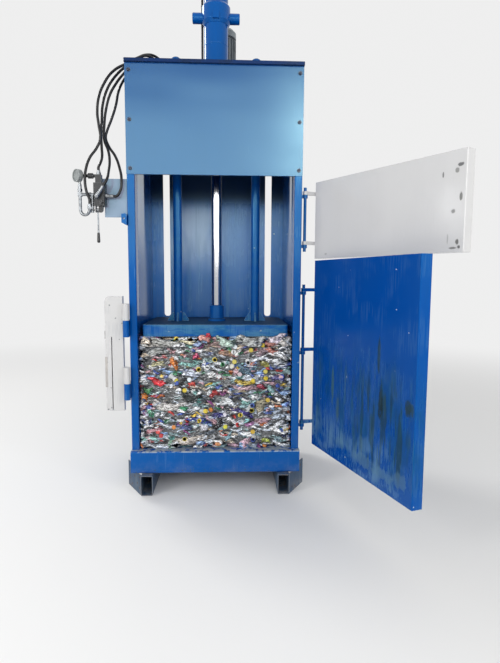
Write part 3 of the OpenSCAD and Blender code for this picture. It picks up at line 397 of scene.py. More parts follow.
class Finish:
    """A material being built up in layers over one shader."""

    def __init__(self, name, colour, roughness, metallic=0.0, **constants):
        self.material = bpy.data.materials.new(name)
        self.material.use_nodes = True
        self.tree = self.material.node_tree
        self.shader = self.tree.nodes["Principled BSDF"]
        for label, value in constants.items():
            socket = "IOR" if label == "ior" else label.replace("_", " ").title()
            self.shader.inputs[socket].default_value = value
        self.colour, self.roughness, self.metallic = colour, roughness, metallic
        self.relief = []

    def effect(self, name, **inputs):
        """The outputs of a shared effect, with its inputs set or joined."""
        node = add(self.tree, "ShaderNodeGroup", node_tree=effect_group(name))
        for label, value in inputs.items():
            join(self.tree, value, node.inputs[label.replace("_", " ")])
        return node.outputs

    def mask(self, name, **inputs):
        """A shared effect's mask, with its inputs set or joined."""
        return self.effect(name, **inputs)["Mask"]

    def blotches(self, low, high, scale, stretch=(1.0, 1.0, 1.0), detail=3.0, rough=0.55):
        """A mask of soft blotches: noise, drawn from 0 at low to 1 at high."""
        return remap(self.tree, grain(self.tree, scale, stretch, detail, rough), low, high)

    def paint(self, spread=0.15, scale=3.0, peel=0.00003):
        """Makes the plain colour uneven, as sprayed paint is."""
        out = self.effect("Uneven Paint", Colour=self.colour, Spread=spread, Scale=scale)
        self.colour = out["Colour"]
        self.raise_by(out["Height"], peel)

    def lay(self, mask, colour, roughness=None, metallic=None, amount=1.0):
        """Lays another colour, roughness or metal over what is there, where the mask is 1."""
        if amount != 1.0:
            mask = times(self.tree, mask, amount)
        self.colour = mix_colour(self.tree, mask, self.colour, colour)
        if roughness is not None:
            self.roughness = mix_value(self.tree, mask, self.roughness, roughness)
        if metallic is not None:
            self.metallic = mix_value(self.tree, mask, self.metallic, metallic)

    def coat(self, name, colour, roughness=None, metallic=None, amount=1.0, zone=None, **inputs):
        """Lays a colour, roughness or metal by a shared effect's mask, in a zone if one is given."""
        mask = self.mask(name, **inputs)
        self.lay(mask if zone is None else times(self.tree, mask, zone), colour, roughness, metallic, amount)

    def raise_by(self, height, metres):
        """Adds relief, as a height from 0 to 1 times a depth in metres."""
        self.relief.append((height, metres))

    def done(self, soften=0.0015):
        """Joins the layers to the shader and rounds the edges' shading, and returns the material."""
        for label, value in (("Base Color", self.colour), ("Roughness", self.roughness),
                             ("Metallic", self.metallic)):
            join(self.tree, value, self.shader.inputs[label])
        normal = total = None
        if soften:
            normal = add(self.tree, "ShaderNodeBevel", {"Radius": soften}, samples=4).outputs[0]
        for height, metres in self.relief:
            deep = times(self.tree, height, metres)
            total = deep if total is None else calc(self.tree, "ADD", total, deep)
        if total is not None:
            inputs = {"Height": total, "Distance": 1.0, "Strength": 1.0}
            if normal is not None:
                inputs["Normal"] = normal
            normal = add(self.tree, "ShaderNodeBump", inputs).outputs[0]
        if normal is not None:
            self.tree.links.new(normal, self.shader.inputs["Normal"])
        return self.material


# Finishes of the press

BRIGHT_STEEL = (0.42, 0.45, 0.48)
CHALKY_BLUE = (0.14, 0.27, 0.42)
FLOOR_DUST = (0.28, 0.26, 0.24)
OIL_BLACK = (0.010, 0.013, 0.016)
# Heights for dust on pieces that stand clear of the floor, so that it lies on upward faces alone
OFF_FLOOR = {"Low": -2.0, "High": -1.0}
# Colour that the blue enamel gives to what it mirrors
BLUE_SHINE = (0.34, 0.86, 1.0, 1.0)


def set_colour(name, share=1.0):
    """One of the paint colours that the user sets, or a share of it."""
    return tuple(share * part for part in getattr(bpy.context.scene.baler_paint, name))


def frame_paint(name, colour=None, wear=1.0, dust_to=0.45, gloss=0.12):
    """Glossy machine blue, rubbed bright on its edges and lightly scratched."""
    wear = wear * bpy.context.scene.baler_paint.wear
    finish = Finish(name, colour or set_colour("main_blue"), gloss, specular_tint=BLUE_SHINE)
    finish.paint(spread=0.09, scale=2.6)
    finish.coat("Streaks", CHALKY_BLUE, 0.4, amount=0.10, Scale=34.0, Length=14.0, Share=0.5 * wear)
    finish.coat("Scratches", CHALKY_BLUE, 0.4, amount=0.22, Scale=1.0, Share=wear)
    finish.coat("Chips", BRIGHT_STEEL, 0.5, 0.5, Scale=34.0, Share=0.03 * wear, Size=0.13)
    edges = finish.mask("Worn Edges", Width=0.004, Share=wear, Grain=38.0)
    finish.lay(edges, CHALKY_BLUE, 0.4, amount=0.7)
    finish.lay(remap(finish.tree, edges, 0.7, 0.95), BRIGHT_STEEL, 0.4, 0.6, amount=0.5)
    finish.coat("Settled Dust", FLOOR_DUST, 0.8, Low=0.02, High=dust_to, Share=0.35)
    return finish.done()


def sill_paint():
    """The threshold that bales are dragged over: a bright worn top edge and chips under it."""
    finish = Finish("sill_blue_paint", set_colour("main_blue"), 0.2, specular_tint=BLUE_SHINE)
    finish.paint(spread=0.10, scale=3.0)
    tree, up = finish.tree, heights(finish.tree)
    finish.coat("Scratches", CHALKY_BLUE, 0.45, amount=0.10, Scale=0.8, Share=0.5)
    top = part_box("front_sill")[1][2]
    band = remap(tree, up, top - 0.010, top - 0.003)
    uneven = finish.blotches(0.40, 0.56, 24.0, (1.0, 1.0, 0.3), 4.0)
    finish.lay(times(tree, band, uneven), (0.36, 0.39, 0.42), 0.45, 0.3)
    finish.coat("Chips", (0.02, 0.03, 0.05), 0.7, zone=remap(tree, up, 0.19, 0.15), Scale=55.0, Share=0.3,
                Size=0.26)
    finish.coat("Worn Edges", CHALKY_BLUE, 0.45, amount=0.6, Width=0.005, Share=0.6, Grain=30.0)
    finish.coat("Settled Dust", FLOOR_DUST, 0.85, Low=0.12, High=0.26, Share=0.15)
    return finish.done()


def foot_paint():
    """Dull blue on the skid feet, dusty, scuffed and rusty where they meet the floor."""
    finish = Finish("foot_dusty_blue", (0.022, 0.060, 0.120), 0.55)
    finish.paint(spread=0.35, scale=7.0)
    finish.lay(finish.blotches(0.50, 0.66, 16.0, (1.0, 1.0, 0.5), 5.0, 0.65), (0.10, 0.14, 0.18), 0.7,
               amount=0.5)
    finish.coat("Chips", (0.09, 0.045, 0.025), 0.85, Scale=42.0, Share=0.3, Size=0.3)
    finish.coat("Worn Edges", (0.20, 0.20, 0.20), 0.6, 0.3, Width=0.006, Share=1.0, Grain=26.0)
    finish.coat("Settled Dust", FLOOR_DUST, 0.9, Low=0.0, High=0.10, Share=0.6)
    return finish.done()


def panel_paint():
    """The cover panel: clean glossy sheet with a soft wave in it."""
    finish = Finish("panel_blue_paint", set_colour("main_blue", 0.68), 0.2, ior=1.9,
                    specular_tint=(0.52, 0.90, 0.92, 1.0))
    finish.paint(spread=0.05, scale=1.6, peel=0.00002)
    finish.raise_by(grain(finish.tree, 1.7, (0.7, 1.0, 1.4), 1.0), 0.010)
    finish.coat("Scratches", CHALKY_BLUE, 0.4, amount=0.12, Scale=1.4, Share=0.2)
    finish.coat("Worn Edges", CHALKY_BLUE, 0.4, Width=0.003, Share=0.45, Grain=30.0)
    return finish.done()


def top_plate_paint():
    """Very dark blue plate under the cylinder, with an oil film on top."""
    finish = Finish("top_plate_dark_blue", set_colour("dark_blue"), 0.34, specular_tint=(0.3, 0.5, 1.0, 1.0))
    finish.paint(spread=0.2, scale=4.0)
    finish.lay(finish.blotches(0.48, 0.62, 5.0, detail=5.0), OIL_BLACK, 0.14, amount=0.5)
    finish.coat("Worn Edges", CHALKY_BLUE, 0.45, amount=0.4, Width=0.002, Share=0.3, Grain=45.0)
    finish.coat("Settled Dust", FLOOR_DUST, 0.9, **OFF_FLOOR, Share=0.3)
    return finish.done()


def side_wall_paint():
    """Chamber side walls: slightly bowed, mirror-glossy blue above, dulled by passing waste below."""
    finish = Finish("side_wall_blue", set_colour("main_blue"), None, ior=2.1,
                    specular_tint=(0.55, 0.88, 1.0, 1.0))
    finish.paint(spread=0.12, scale=2.4, peel=0.000003)
    tree = finish.tree
    finish.roughness = remap(tree, heights(tree), 1.45, 1.95, 0.22, 0.045)
    finish.raise_by(remap(tree, along(tree, here(tree), "Y"), -0.262, 0.20), 0.012)
    finish.coat("Streaks", (0.03, 0.09, 0.20), amount=0.4, Scale=16.0, Length=22.0, Share=0.5, Softness=0.18)
    finish.coat("Streaks", (0.10, 0.17, 0.28), amount=0.2, Scale=48.0, Length=30.0, Share=0.3)
    finish.coat("Scratches", CHALKY_BLUE, 0.3, amount=0.12, Scale=0.9, Share=0.8)
    finish.coat("Worn Edges", BRIGHT_STEEL, 0.4, 0.5, amount=0.6, Width=0.004, Share=0.5, Grain=30.0)
    return finish.done()


def back_wall_paint():
    """Chamber back wall: pale and rubbed upright in the middle, purer blue below, and darkened at the top by
    a painted shadow under the head.
    """
    finish = Finish("back_wall_blue", (0.0, 0.105, 0.420), 0.24, ior=1.8,
                    specular_tint=(0.55, 0.85, 1.0, 1.0))
    finish.paint(spread=0.14, scale=2.2)
    tree, up = finish.tree, heights(finish.tree)
    left_bay = remap(tree, along(tree, here(tree), "X"), 0.14, -0.04, 0.16, 1.0)
    pale = times(tree, remap(tree, up, 1.42, 1.70), remap(tree, up, 2.06, 1.92, 0.15, 1.0), left_bay,
                 finish.blotches(0.34, 0.60, 3.4, (1.0, 1.0, 0.3)))
    finish.lay(pale, (0.50, 0.60, 0.76), 0.30, amount=0.95)
    finish.coat("Streaks", (0.05, 0.17, 0.32), 0.34, amount=0.4, Scale=20.0, Length=26.0, Share=0.5,
                Softness=0.2)
    finish.coat("Streaks", (0.20, 0.32, 0.44), 0.4, amount=0.14, Scale=70.0, Length=30.0, Share=0.3)
    finish.coat("Scratches", (0.18, 0.30, 0.42), 0.45, amount=0.15, Scale=0.8, Share=0.9)
    finish.coat("Chips", (0.5, 0.6, 0.62), 0.5, Scale=20.0, Share=0.02, Size=0.12)
    # Painted shadow: the top of the wall goes near black where the head shades it.
    finish.lay(remap(tree, up, 1.96, 2.08), (0.0, 0.006, 0.028), 0.3, amount=0.92)
    return finish.done()


def ram_paint(name, rubbed):
    """Blue of the ram, with painted shade on its upward faces. Rubbed is how much the waste and the walls
    have dulled it.
    """
    finish = Finish(name, set_colour("main_blue", 0.9), 0.14, specular_tint=BLUE_SHINE)
    finish.paint(spread=0.10, scale=4.0)
    facing = along(finish.tree, add(finish.tree, "ShaderNodeNewGeometry").outputs["Normal"], "Z")
    finish.lay(finish.blotches(0.40, 0.62, 6.0, (0.7, 1.0, 2.6), 5.0, 0.65), (0.030, 0.125, 0.215), 0.4,
               amount=0.85 * rubbed)
    finish.coat("Scratches", CHALKY_BLUE, 0.45, amount=0.2 * rubbed, Scale=0.8, Share=1.0)
    finish.coat("Chips", (0.26, 0.30, 0.32), 0.6, Scale=36.0, Share=0.12 * rubbed, Size=0.2)
    finish.coat("Worn Edges", (0.26, 0.36, 0.42), 0.45, 0.3, amount=0.7, Width=0.005, Share=rubbed,
                Grain=26.0)
    # Painted shade: upward faces of the platen, the boss and the guides darkened to near black.
    finish.lay(remap(finish.tree, facing, 0.6, 0.95), (0.006, 0.022, 0.075), 0.75, amount=0.9)
    return finish.done()


def along_door(tree, hinge, way):
    """Distance of the shaded point from a hinge axis in plan, measured along an open door."""
    offset = add(tree, "ShaderNodeVectorMath", {
        0: here(tree), 1: (*hinge, 0.0)}, operation="SUBTRACT").outputs[0]
    return add(tree, "ShaderNodeVectorMath", {
        0: offset, 1: (*way, 0.0)}, operation="DOT_PRODUCT").outputs["Value"]


def smeared(finish, across, marks, ragged):
    """Lays the listed wipes and scuffs over a door's face."""
    up = heights(finish.tree)
    for at_across, at_up, half_width, half_height, colour, amount in marks:
        finish.coat("Smear", colour, 0.5, amount=amount, Across=across, Up=up, At_Across=at_across,
                    At_Up=at_up, Half_Width=half_width, Half_Height=half_height, Raggedness=ragged)


# Plan place of the hinge axis, and the ways that the two open doors point
HINGE_AXIS = (0.590, -0.302)
LOWER_DOOR_WAY = (0.299, -0.954)
UPPER_DOOR_WAY = (0.515, -0.857)

# Scuffs on the upper door: distance from the hinge axis, height, half width, half height, colour, strength
SCUFFS = (
    (1.098, 1.995, 0.018, 0.012, (0.05, 0.05, 0.05), 0.85),
    (1.080, 1.968, 0.012, 0.014, (0.12, 0.12, 0.11), 0.7),
    (1.000, 1.958, 0.006, 0.018, (0.10, 0.10, 0.10), 0.8),
    (1.104, 1.842, 0.010, 0.022, (0.10, 0.10, 0.09), 0.8),
    (1.066, 1.774, 0.015, 0.012, (0.16, 0.16, 0.15), 0.7),
    (1.094, 1.622, 0.012, 0.018, (0.07, 0.07, 0.06), 0.85),
    (1.070, 1.594, 0.030, 0.006, (0.12, 0.12, 0.11), 0.8),
    (1.104, 1.598, 0.010, 0.010, (0.05, 0.05, 0.05), 0.85),
    (1.040, 1.640, 0.005, 0.030, (0.24, 0.24, 0.23), 0.6),
    (0.140, 1.600, 0.012, 0.008, (0.20, 0.20, 0.19), 0.6),
)
# Wipes and scuffs on the lower door, in the same way
SMEARS = (
    (0.796, 1.030, 0.013, 0.120, (0.012, 0.028, 0.045), 0.85),
    (0.822, 0.765, 0.024, 0.150, (0.008, 0.012, 0.015), 0.95),
    (0.862, 0.775, 0.010, 0.100, (0.020, 0.045, 0.055), 0.80),
    (1.056, 0.805, 0.028, 0.055, (0.014, 0.024, 0.024), 0.90),
    (1.088, 0.805, 0.012, 0.040, (0.020, 0.040, 0.045), 0.80),
    (0.739, 0.600, 0.020, 0.110, (0.014, 0.040, 0.045), 0.60),
    (0.920, 0.570, 0.012, 0.080, (0.012, 0.036, 0.045), 0.50),
    (1.075, 0.640, 0.010, 0.060, (0.025, 0.060, 0.055), 0.35),
    (0.305, 0.760, 0.016, 0.130, (0.060, 0.120, 0.055), 0.60),
    (0.370, 0.640, 0.020, 0.090, (0.060, 0.110, 0.080), 0.55),
    (0.460, 0.820, 0.012, 0.160, (0.030, 0.080, 0.110), 0.45),
    (0.600, 0.700, 0.012, 0.180, (0.020, 0.060, 0.100), 0.45),
    (0.657, 0.410, 0.110, 0.045, (0.110, 0.210, 0.280), 0.40),
    (0.860, 0.395, 0.100, 0.040, (0.100, 0.200, 0.280), 0.40),
    (0.416, 0.430, 0.060, 0.040, (0.090, 0.190, 0.280), 0.35),
    (1.000, 0.420, 0.060, 0.050, (0.110, 0.200, 0.270), 0.35),
)


def upper_door_paint():
    """Grey-white sheet with scuffs near its free edge and fine marks."""
    finish = Finish("upper_door_grey_white", set_colour("grey_white"), 0.12)
    finish.paint(spread=0.03, scale=1.8)
    finish.raise_by(grain(finish.tree, 1.9, detail=1.0), 0.006)
    finish.coat("Scratches", (0.40, 0.41, 0.43), 0.45, amount=0.12, Scale=1.2, Share=0.4)
    finish.lay(finish.blotches(0.50, 0.72, 3.0, detail=4.0), (0.52, 0.52, 0.52), 0.36, amount=0.3)
    smeared(finish, along_door(finish.tree, HINGE_AXIS, UPPER_DOOR_WAY), SCUFFS, 0.65)
    finish.coat("Worn Edges", (0.30, 0.32, 0.34), 0.5, amount=0.6, Width=0.004, Share=0.3, Grain=34.0)
    return finish.done()


def latch_paint():
    """Grey-white paint on the latch plate, chipped to grey along its bends."""
    finish = Finish("latch_grey_white", set_colour("grey_white", 0.9), 0.34)
    finish.paint(spread=0.06, scale=5.0)
    finish.coat("Streaks", (0.40, 0.41, 0.42), 0.5, amount=0.22, Scale=30.0, Length=9.0, Share=0.3)
    finish.coat("Scratches", (0.30, 0.31, 0.33), 0.5, amount=0.25, Scale=1.0, Share=0.9)
    finish.coat("Chips", (0.14, 0.15, 0.16), 0.6, Scale=50.0, Share=0.07, Size=0.2)
    finish.coat("Worn Edges", (0.26, 0.27, 0.29), 0.5, amount=0.8, Width=0.004, Share=0.6, Grain=30.0)
    return finish.done()


def lower_door_paint():
    """Inner face of the lower door: rubbed upright by bales, with dark wipes and pale scuffs low down."""
    finish = Finish("lower_door_blue", (0.0, 0.055, 0.290), 0.24, specular_tint=(0.15, 0.80, 1.0, 1.0))
    finish.paint(spread=0.07, scale=2.2)
    tree, up = finish.tree, heights(finish.tree)
    worn_zone = times(tree, remap(tree, up, 1.15, 0.75), remap(tree, up, 0.33, 0.45))
    dirt = finish.blotches(0.42, 0.68, 7.0, (1.0, 1.0, 0.35), 5.0, 0.65)
    finish.lay(times(tree, dirt, worn_zone), (0.002, 0.045, 0.140), 0.4, amount=0.7)
    across = along_door(tree, HINGE_AXIS, LOWER_DOOR_WAY)
    runs_zone = times(tree, remap(tree, across, 0.42, 0.70), remap(tree, up, 1.02, 0.78),
                      remap(tree, across, 1.10, 1.00), remap(tree, up, 0.34, 0.48))
    finish.coat("Streaks", (0.008, 0.026, 0.040), 0.45, amount=0.75, zone=runs_zone, Scale=24.0, Length=9.0,
                Share=0.50, Softness=0.07)
    finish.coat("Streaks", (0.020, 0.085, 0.090), 0.45, amount=0.4, zone=worn_zone, Scale=30.0, Length=12.0,
                Share=0.36, Softness=0.10)
    finish.coat("Streaks", (0.015, 0.11, 0.20), 0.45, amount=0.35, zone=worn_zone, Scale=60.0, Length=14.0,
                Share=0.4)
    low = times(tree, remap(tree, up, 0.66, 0.42), remap(tree, up, 0.28, 0.34),
                remap(tree, across, 1.06, 0.98))
    finish.coat("Streaks", (0.08, 0.22, 0.34), 0.5, amount=0.30, zone=low, Scale=80.0, Length=4.0, Share=0.42,
                Softness=0.06)
    finish.coat("Scratches", (0.20, 0.36, 0.44), 0.5, amount=0.35, zone=low, Scale=0.55, Share=1.0)
    smeared(finish, across, SMEARS, 0.9)
    finish.coat("Scratches", (0.10, 0.22, 0.36), 0.45, amount=0.12, Scale=0.8, Share=0.8)
    finish.coat("Chips", (0.50, 0.58, 0.62), 0.5, Scale=30.0, Share=0.03, Size=0.12)
    finish.coat("Worn Edges", CHALKY_BLUE, 0.4, Width=0.005, Share=0.6, Grain=30.0)
    return finish.done()


def chrome():
    """Hard chrome with faint lines of travel and a film of oil."""
    finish = Finish("rod_hard_chrome", (0.50, 0.51, 0.54), 0.11, 1.0)
    finish.coat("Streaks", (0.52, 0.53, 0.56), 0.16, amount=0.5, Scale=160.0, Length=60.0, Share=0.3)
    finish.lay(finish.blotches(0.5, 0.7, 9.0, (1.0, 1.0, 0.25)), (0.50, 0.51, 0.53), 0.18, amount=0.5)
    return finish.done(0.001)


def machined_steel(name="machined_steel"):
    """Bare turned steel, greyed by oil and handling."""
    finish = Finish(name, (0.46, 0.48, 0.50), 0.32, 0.9)
    finish.lay(finish.blotches(0.45, 0.68, 30.0, detail=5.0), (0.22, 0.23, 0.24), 0.5, amount=0.6)
    finish.raise_by(grain(finish.tree, 420.0, (1.0, 1.0, 6.0), 1.0), 0.0001)
    finish.coat("Worn Edges", (0.70, 0.71, 0.72), 0.25, Width=0.002, Share=0.6, Grain=60.0)
    return finish.done(0.0008)


def dark_steel(name="oiled_dark_steel", colour=(0.016, 0.017, 0.019)):
    """Dark oiled steel with bright corners."""
    finish = Finish(name, colour, 0.36, 0.15)
    finish.lay(finish.blotches(0.5, 0.7, 45.0, detail=5.0), (0.055, 0.055, 0.056), 0.6, amount=0.5)
    finish.coat("Worn Edges", (0.35, 0.36, 0.37), 0.3, 0.9, Width=0.0015, Share=0.8, Grain=90.0)
    return finish.done(0.0008)


def zinc():
    """Zinc-plated fittings, bright with a dull bloom."""
    finish = Finish("zinc_plate", (0.27, 0.285, 0.30), 0.32, 0.9)
    finish.lay(finish.blotches(0.45, 0.7, 60.0, detail=5.0), (0.10, 0.105, 0.11), 0.5, amount=0.7)
    finish.coat("Worn Edges", (0.60, 0.62, 0.64), 0.2, Width=0.001, Share=0.8, Grain=120.0)
    return finish.done(0.0006)


def gauge_case():
    """Dull grey gauge casing."""
    finish = Finish("gauge_case_grey", (0.30, 0.32, 0.32), 0.42, 0.5)
    finish.lay(finish.blotches(0.5, 0.7, 50.0, detail=5.0), (0.16, 0.17, 0.17), 0.6, amount=0.6)
    finish.coat("Worn Edges", (0.6, 0.61, 0.6), 0.3, 0.8, Width=0.0012, Share=0.8, Grain=100.0)
    return finish.done(0.0008)


def motor_paint(name, colour):
    """Plain machine enamel with oil and dust."""
    finish = Finish(name, colour, 0.4, coat_weight=0.2, coat_roughness=0.3)
    finish.paint(spread=0.2, scale=9.0)
    finish.lay(finish.blotches(0.5, 0.68, 14.0, detail=5.0), OIL_BLACK, 0.3, amount=0.5)
    finish.coat("Worn Edges", (0.35, 0.37, 0.37), 0.4, 0.5, Width=0.002, Share=0.6, Grain=60.0)
    finish.coat("Settled Dust", FLOOR_DUST, 0.9, **OFF_FLOOR, Share=0.6)
    return finish.done()


def moulded_grip():
    """Black moulded knob."""
    finish = Finish("moulded_black_grip", (0.014, 0.014, 0.015), 0.38)
    finish.lay(finish.blotches(0.5, 0.7, 120.0, detail=4.0), (0.05, 0.05, 0.05), 0.55, amount=0.6)
    finish.raise_by(grain(finish.tree, 900.0, detail=1.0), 0.0001)
    return finish.done(0.001)


def hose_rubber(colour):
    """Smooth black hose cover with a wrapped texture, dust and scuffs."""
    finish = Finish("hose_rubber", tuple(colour), 0.34, ior=1.4)
    finish.lay(finish.blotches(0.48, 0.7, 40.0, detail=5.0), (0.016, 0.016, 0.016), 0.5, amount=0.5)
    finish.coat("Settled Dust", (0.06, 0.057, 0.054), 0.8, **OFF_FLOOR, Share=0.10)
    finish.raise_by(grain(finish.tree, 700.0, detail=2.0), 0.0002)
    return finish.done(None)


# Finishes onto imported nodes, and new objects into the scene


def dress(material, *names):
    """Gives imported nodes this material."""
    for name in names:
        materials = NODES[name].data.materials
        materials.clear()
        materials.append(material)


def placed(name, data):
    """A new object in the scene, round a mesh, curve, lamp or camera."""
    thing = bpy.data.objects.new(name, data)
    bpy.context.scene.collection.objects.link(thing)
    return thing


# The pressed bale


class Heap:
    """Many small shapes gathered into one mesh, each point with its own tint."""

    def __init__(self):
        self.points, self.faces, self.tints = [], [], []
        self.count = 0

    def put(self, points, faces, tints):
        """Adds a shape: its points, its triangles and a colour for each point."""
        self.points.append(points)
        self.faces.append(faces + self.count)
        self.tints.append(tints)
        self.count += len(points)

    def build(self, name, material, smooth=True):
        """Makes the mesh object, which rides on the frame in the bale's place."""
        mesh = bpy.data.meshes.new(name)
        mesh.from_pydata(np.concatenate(self.points).tolist(), [], np.concatenate(self.faces).tolist())
        tints = np.concatenate(self.tints)
        layer = mesh.color_attributes.new("tint", "FLOAT_COLOR", "POINT")
        layer.data.foreach_set("color", np.hstack([tints, np.ones((len(tints), 1))]).ravel())
        mesh.polygons.foreach_set("use_smooth", [smooth] * len(mesh.polygons))
        mesh.materials.append(material)
        piece = placed(name, mesh)
        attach(piece, "frame")
        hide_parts("bale", "bale_edge")


def taken_from(shape):
    """Points and triangles of an edited mesh, which is then freed."""
    points = np.array([v.co[:] for v in shape.verts])
    faces = np.array([[v.index for v in f.verts] for f in shape.faces])
    shape.free()
    return points, faces


def ball(divisions):
    """Points and triangles of a round ball."""
    shape = bmesh.new()
    bmesh.ops.create_icosphere(shape, subdivisions=divisions, radius=1.0)
    return taken_from(shape)


def waves(points, rng, paces, depth):
    """Random creases over a shape: one value for each point."""
    total = np.zeros(len(points))
    for pace in paces:
        way = np.array([rng.gauss(0, 1) for _ in range(3)])
        way /= np.linalg.norm(way)
        total += 1 - 2.1 * np.abs(np.sin(pace * points @ way + rng.uniform(0, 6)))
    return depth * total


def crush(points, rng, size):
    """Crumples a ball into a flattened bottle of that length, depth and height."""
    shaped = np.sign(points) * np.abs(points) ** 0.7
    swell = waves(points, rng, (2.3, 3.7, 5.9, 8.7), 0.15)
    shaped = shaped * (1 + swell)[:, None] * np.array(size) / 2
    shaped[:, 2] += 0.30 * size[2] * np.sin(2.6 * points[:, 0] + rng.uniform(0, 6))
    return shaped


def turned(points, yaw, pitch, roll):
    """Points turned about X by roll, then Y by pitch, then Z by yaw."""
    turn = Matrix.Rotation(yaw, 3, "Z") @ Matrix.Rotation(pitch, 3, "Y") @ Matrix.Rotation(roll, 3, "X")
    return points @ np.array(turn).T


# Share of the crushed bottles that keep a label
LABEL_SHARE = 0.5
# How much brighter the bottles are in the lowest layer, in red, green and blue
LOW_TONE = (0.13, 0.23, 0.38)
# Scraps of label over the front face, and loose caps beside those that have a place of their own
SCRAP_COUNT, LOOSE_CAP_COUNT = 130, 30
# The other faces: axis, side and how many crushed bottles
OTHER_FACES = ((2, 1, 190), (1, 1, 170), (0, -1, 80), (0, 1, 80), (2, -1, 50))
# How far the bits stay inside the box of the bale and of its edge, at the low and the high corner
BALE_MARGINS = (0.0005, (0.0005, 0.0005, 0.0008))
EDGE_MARGINS = (0.0003, (0.0003, 0.0006, 0.0003))
# Tint of the bale's heart, kept dark as painted shade in the gaps between the outer bottles
CORE_SHADE_TINT = (0.14, 0.145, 0.15)
# Tints of the crushed bottles, of labels and films, and of caps, with how often each comes
BOTTLE_TINTS = (
    ((0.46, 0.49, 0.52), 24), ((0.72, 0.74, 0.78), 24), ((0.27, 0.37, 0.36), 13), ((0.30, 0.56, 0.50), 9),
    ((0.30, 0.44, 0.68), 13), ((0.86, 0.86, 0.86), 14), ((0.08, 0.09, 0.10), 8), ((0.62, 0.50, 0.37), 9),
    ((0.56, 0.34, 0.36), 7), ((0.16, 0.20, 0.40), 5),
)
LABEL_TINTS = (
    ((0.84, 0.84, 0.85), 46), ((0.45, 0.04, 0.035), 9), ((0.05, 0.09, 0.33), 11), ((0.58, 0.40, 0.05), 8),
    ((0.04, 0.20, 0.09), 9), ((0.50, 0.14, 0.04), 6), ((0.24, 0.06, 0.20), 4), ((0.10, 0.36, 0.33), 6),
    ((0.58, 0.36, 0.40), 7), ((0.012, 0.012, 0.016), 10),
)
CAP_TINTS = (
    ((0.66, 0.50, 0.03), 24), ((0.50, 0.03, 0.03), 16), ((0.74, 0.74, 0.74), 26), ((0.04, 0.09, 0.38), 14),
    ((0.58, 0.20, 0.03), 9), ((0.04, 0.24, 0.09), 9),
)


def choose(rng, weighted):
    """One of the tints, picked by weight."""
    return np.array(rng.choices([t for t, _ in weighted], [w for _, w in weighted])[0])


def plastic_tints(rng, points, tone, label_share=LABEL_SHARE):
    """A tint for each point of a crushed bottle: plastic with painted light and shade over its creases, often
    with a torn label.
    """
    # Painted light and shade: brighter and darker over the creases.
    light = 1.0 + waves(points, rng, (4.1, 6.7, 9.9), 0.28)
    tints = np.clip(tone[None, :] * np.clip(light, 0.30, 2.0)[:, None], 0.004, 0.88)
    if rng.random() < label_share:
        label = choose(rng, LABEL_TINTS)
        centre, half = rng.uniform(-0.35, 0.35), rng.uniform(0.14, 0.42)
        torn = 0.14 * np.sin(7 * points[:, 1] + 3) + 0.1 * np.sin(13 * points[:, 2])
        covered = np.abs(points[:, 0] - centre + torn) < half
        shade = np.clip(light, 0.6, 1.3)
        tints[covered] = np.clip(label[None, :] * shade[:, None], 0.004, 0.86)[covered]
    return tints


def plain_tints(rng, points, tone):
    """One colour over a shape, with painted shade in its folds."""
    light = np.clip(1.0 + waves(points, rng, (4.1, 7.3), 0.2), 0.55, 1.35)
    return np.clip(np.array(tone)[None, :] * light[:, None], 0.004, 0.86)


def lathe(profile, sides, ribbed=0.0):
    """Points and triangles of a turned shape from (radius, height) pairs, with grip ribs."""
    points = []
    for wide, rise in profile:
        for k in range(sides):
            angle = 2 * math.pi * k / sides
            reach = wide * (1 + (ribbed if k % 2 else 0.0))
            points.append((reach * math.cos(angle), reach * math.sin(angle), rise))
    faces = []
    for ring in range(len(profile) - 1):
        for k in range(sides):
            a, b = ring * sides + k, ring * sides + (k + 1) % sides
            faces += [(a, b, b + sides), (a, b + sides, a + sides)]
    last = (len(profile) - 1) * sides
    points += [(0.0, 0.0, profile[-1][1]), (0.0, 0.0, profile[0][1])]
    for k in range(sides):
        faces.append((last + k, last + (k + 1) % sides, len(points) - 2))
        faces.append(((k + 1) % sides, k, len(points) - 1))
    return np.array(points), np.array(faces)


CAP = lathe(((0.0145, 0.0), (0.0145, 0.010), (0.0138, 0.013), (0.0118, 0.0145)), 24, 0.03)
# How far a cap is raised on a neck, and the neck's tint
NECK_RISE, NECK_TINT = 0.012, (0.50, 0.52, 0.52)
NECK = lathe(((0.021, -0.024), (0.016, -0.010), (0.0118, 0.0), (0.0118, 0.007), (0.0155, 0.008),
              (0.0155, 0.011), (0.0118, 0.012), (0.0118, 0.024)), 18)

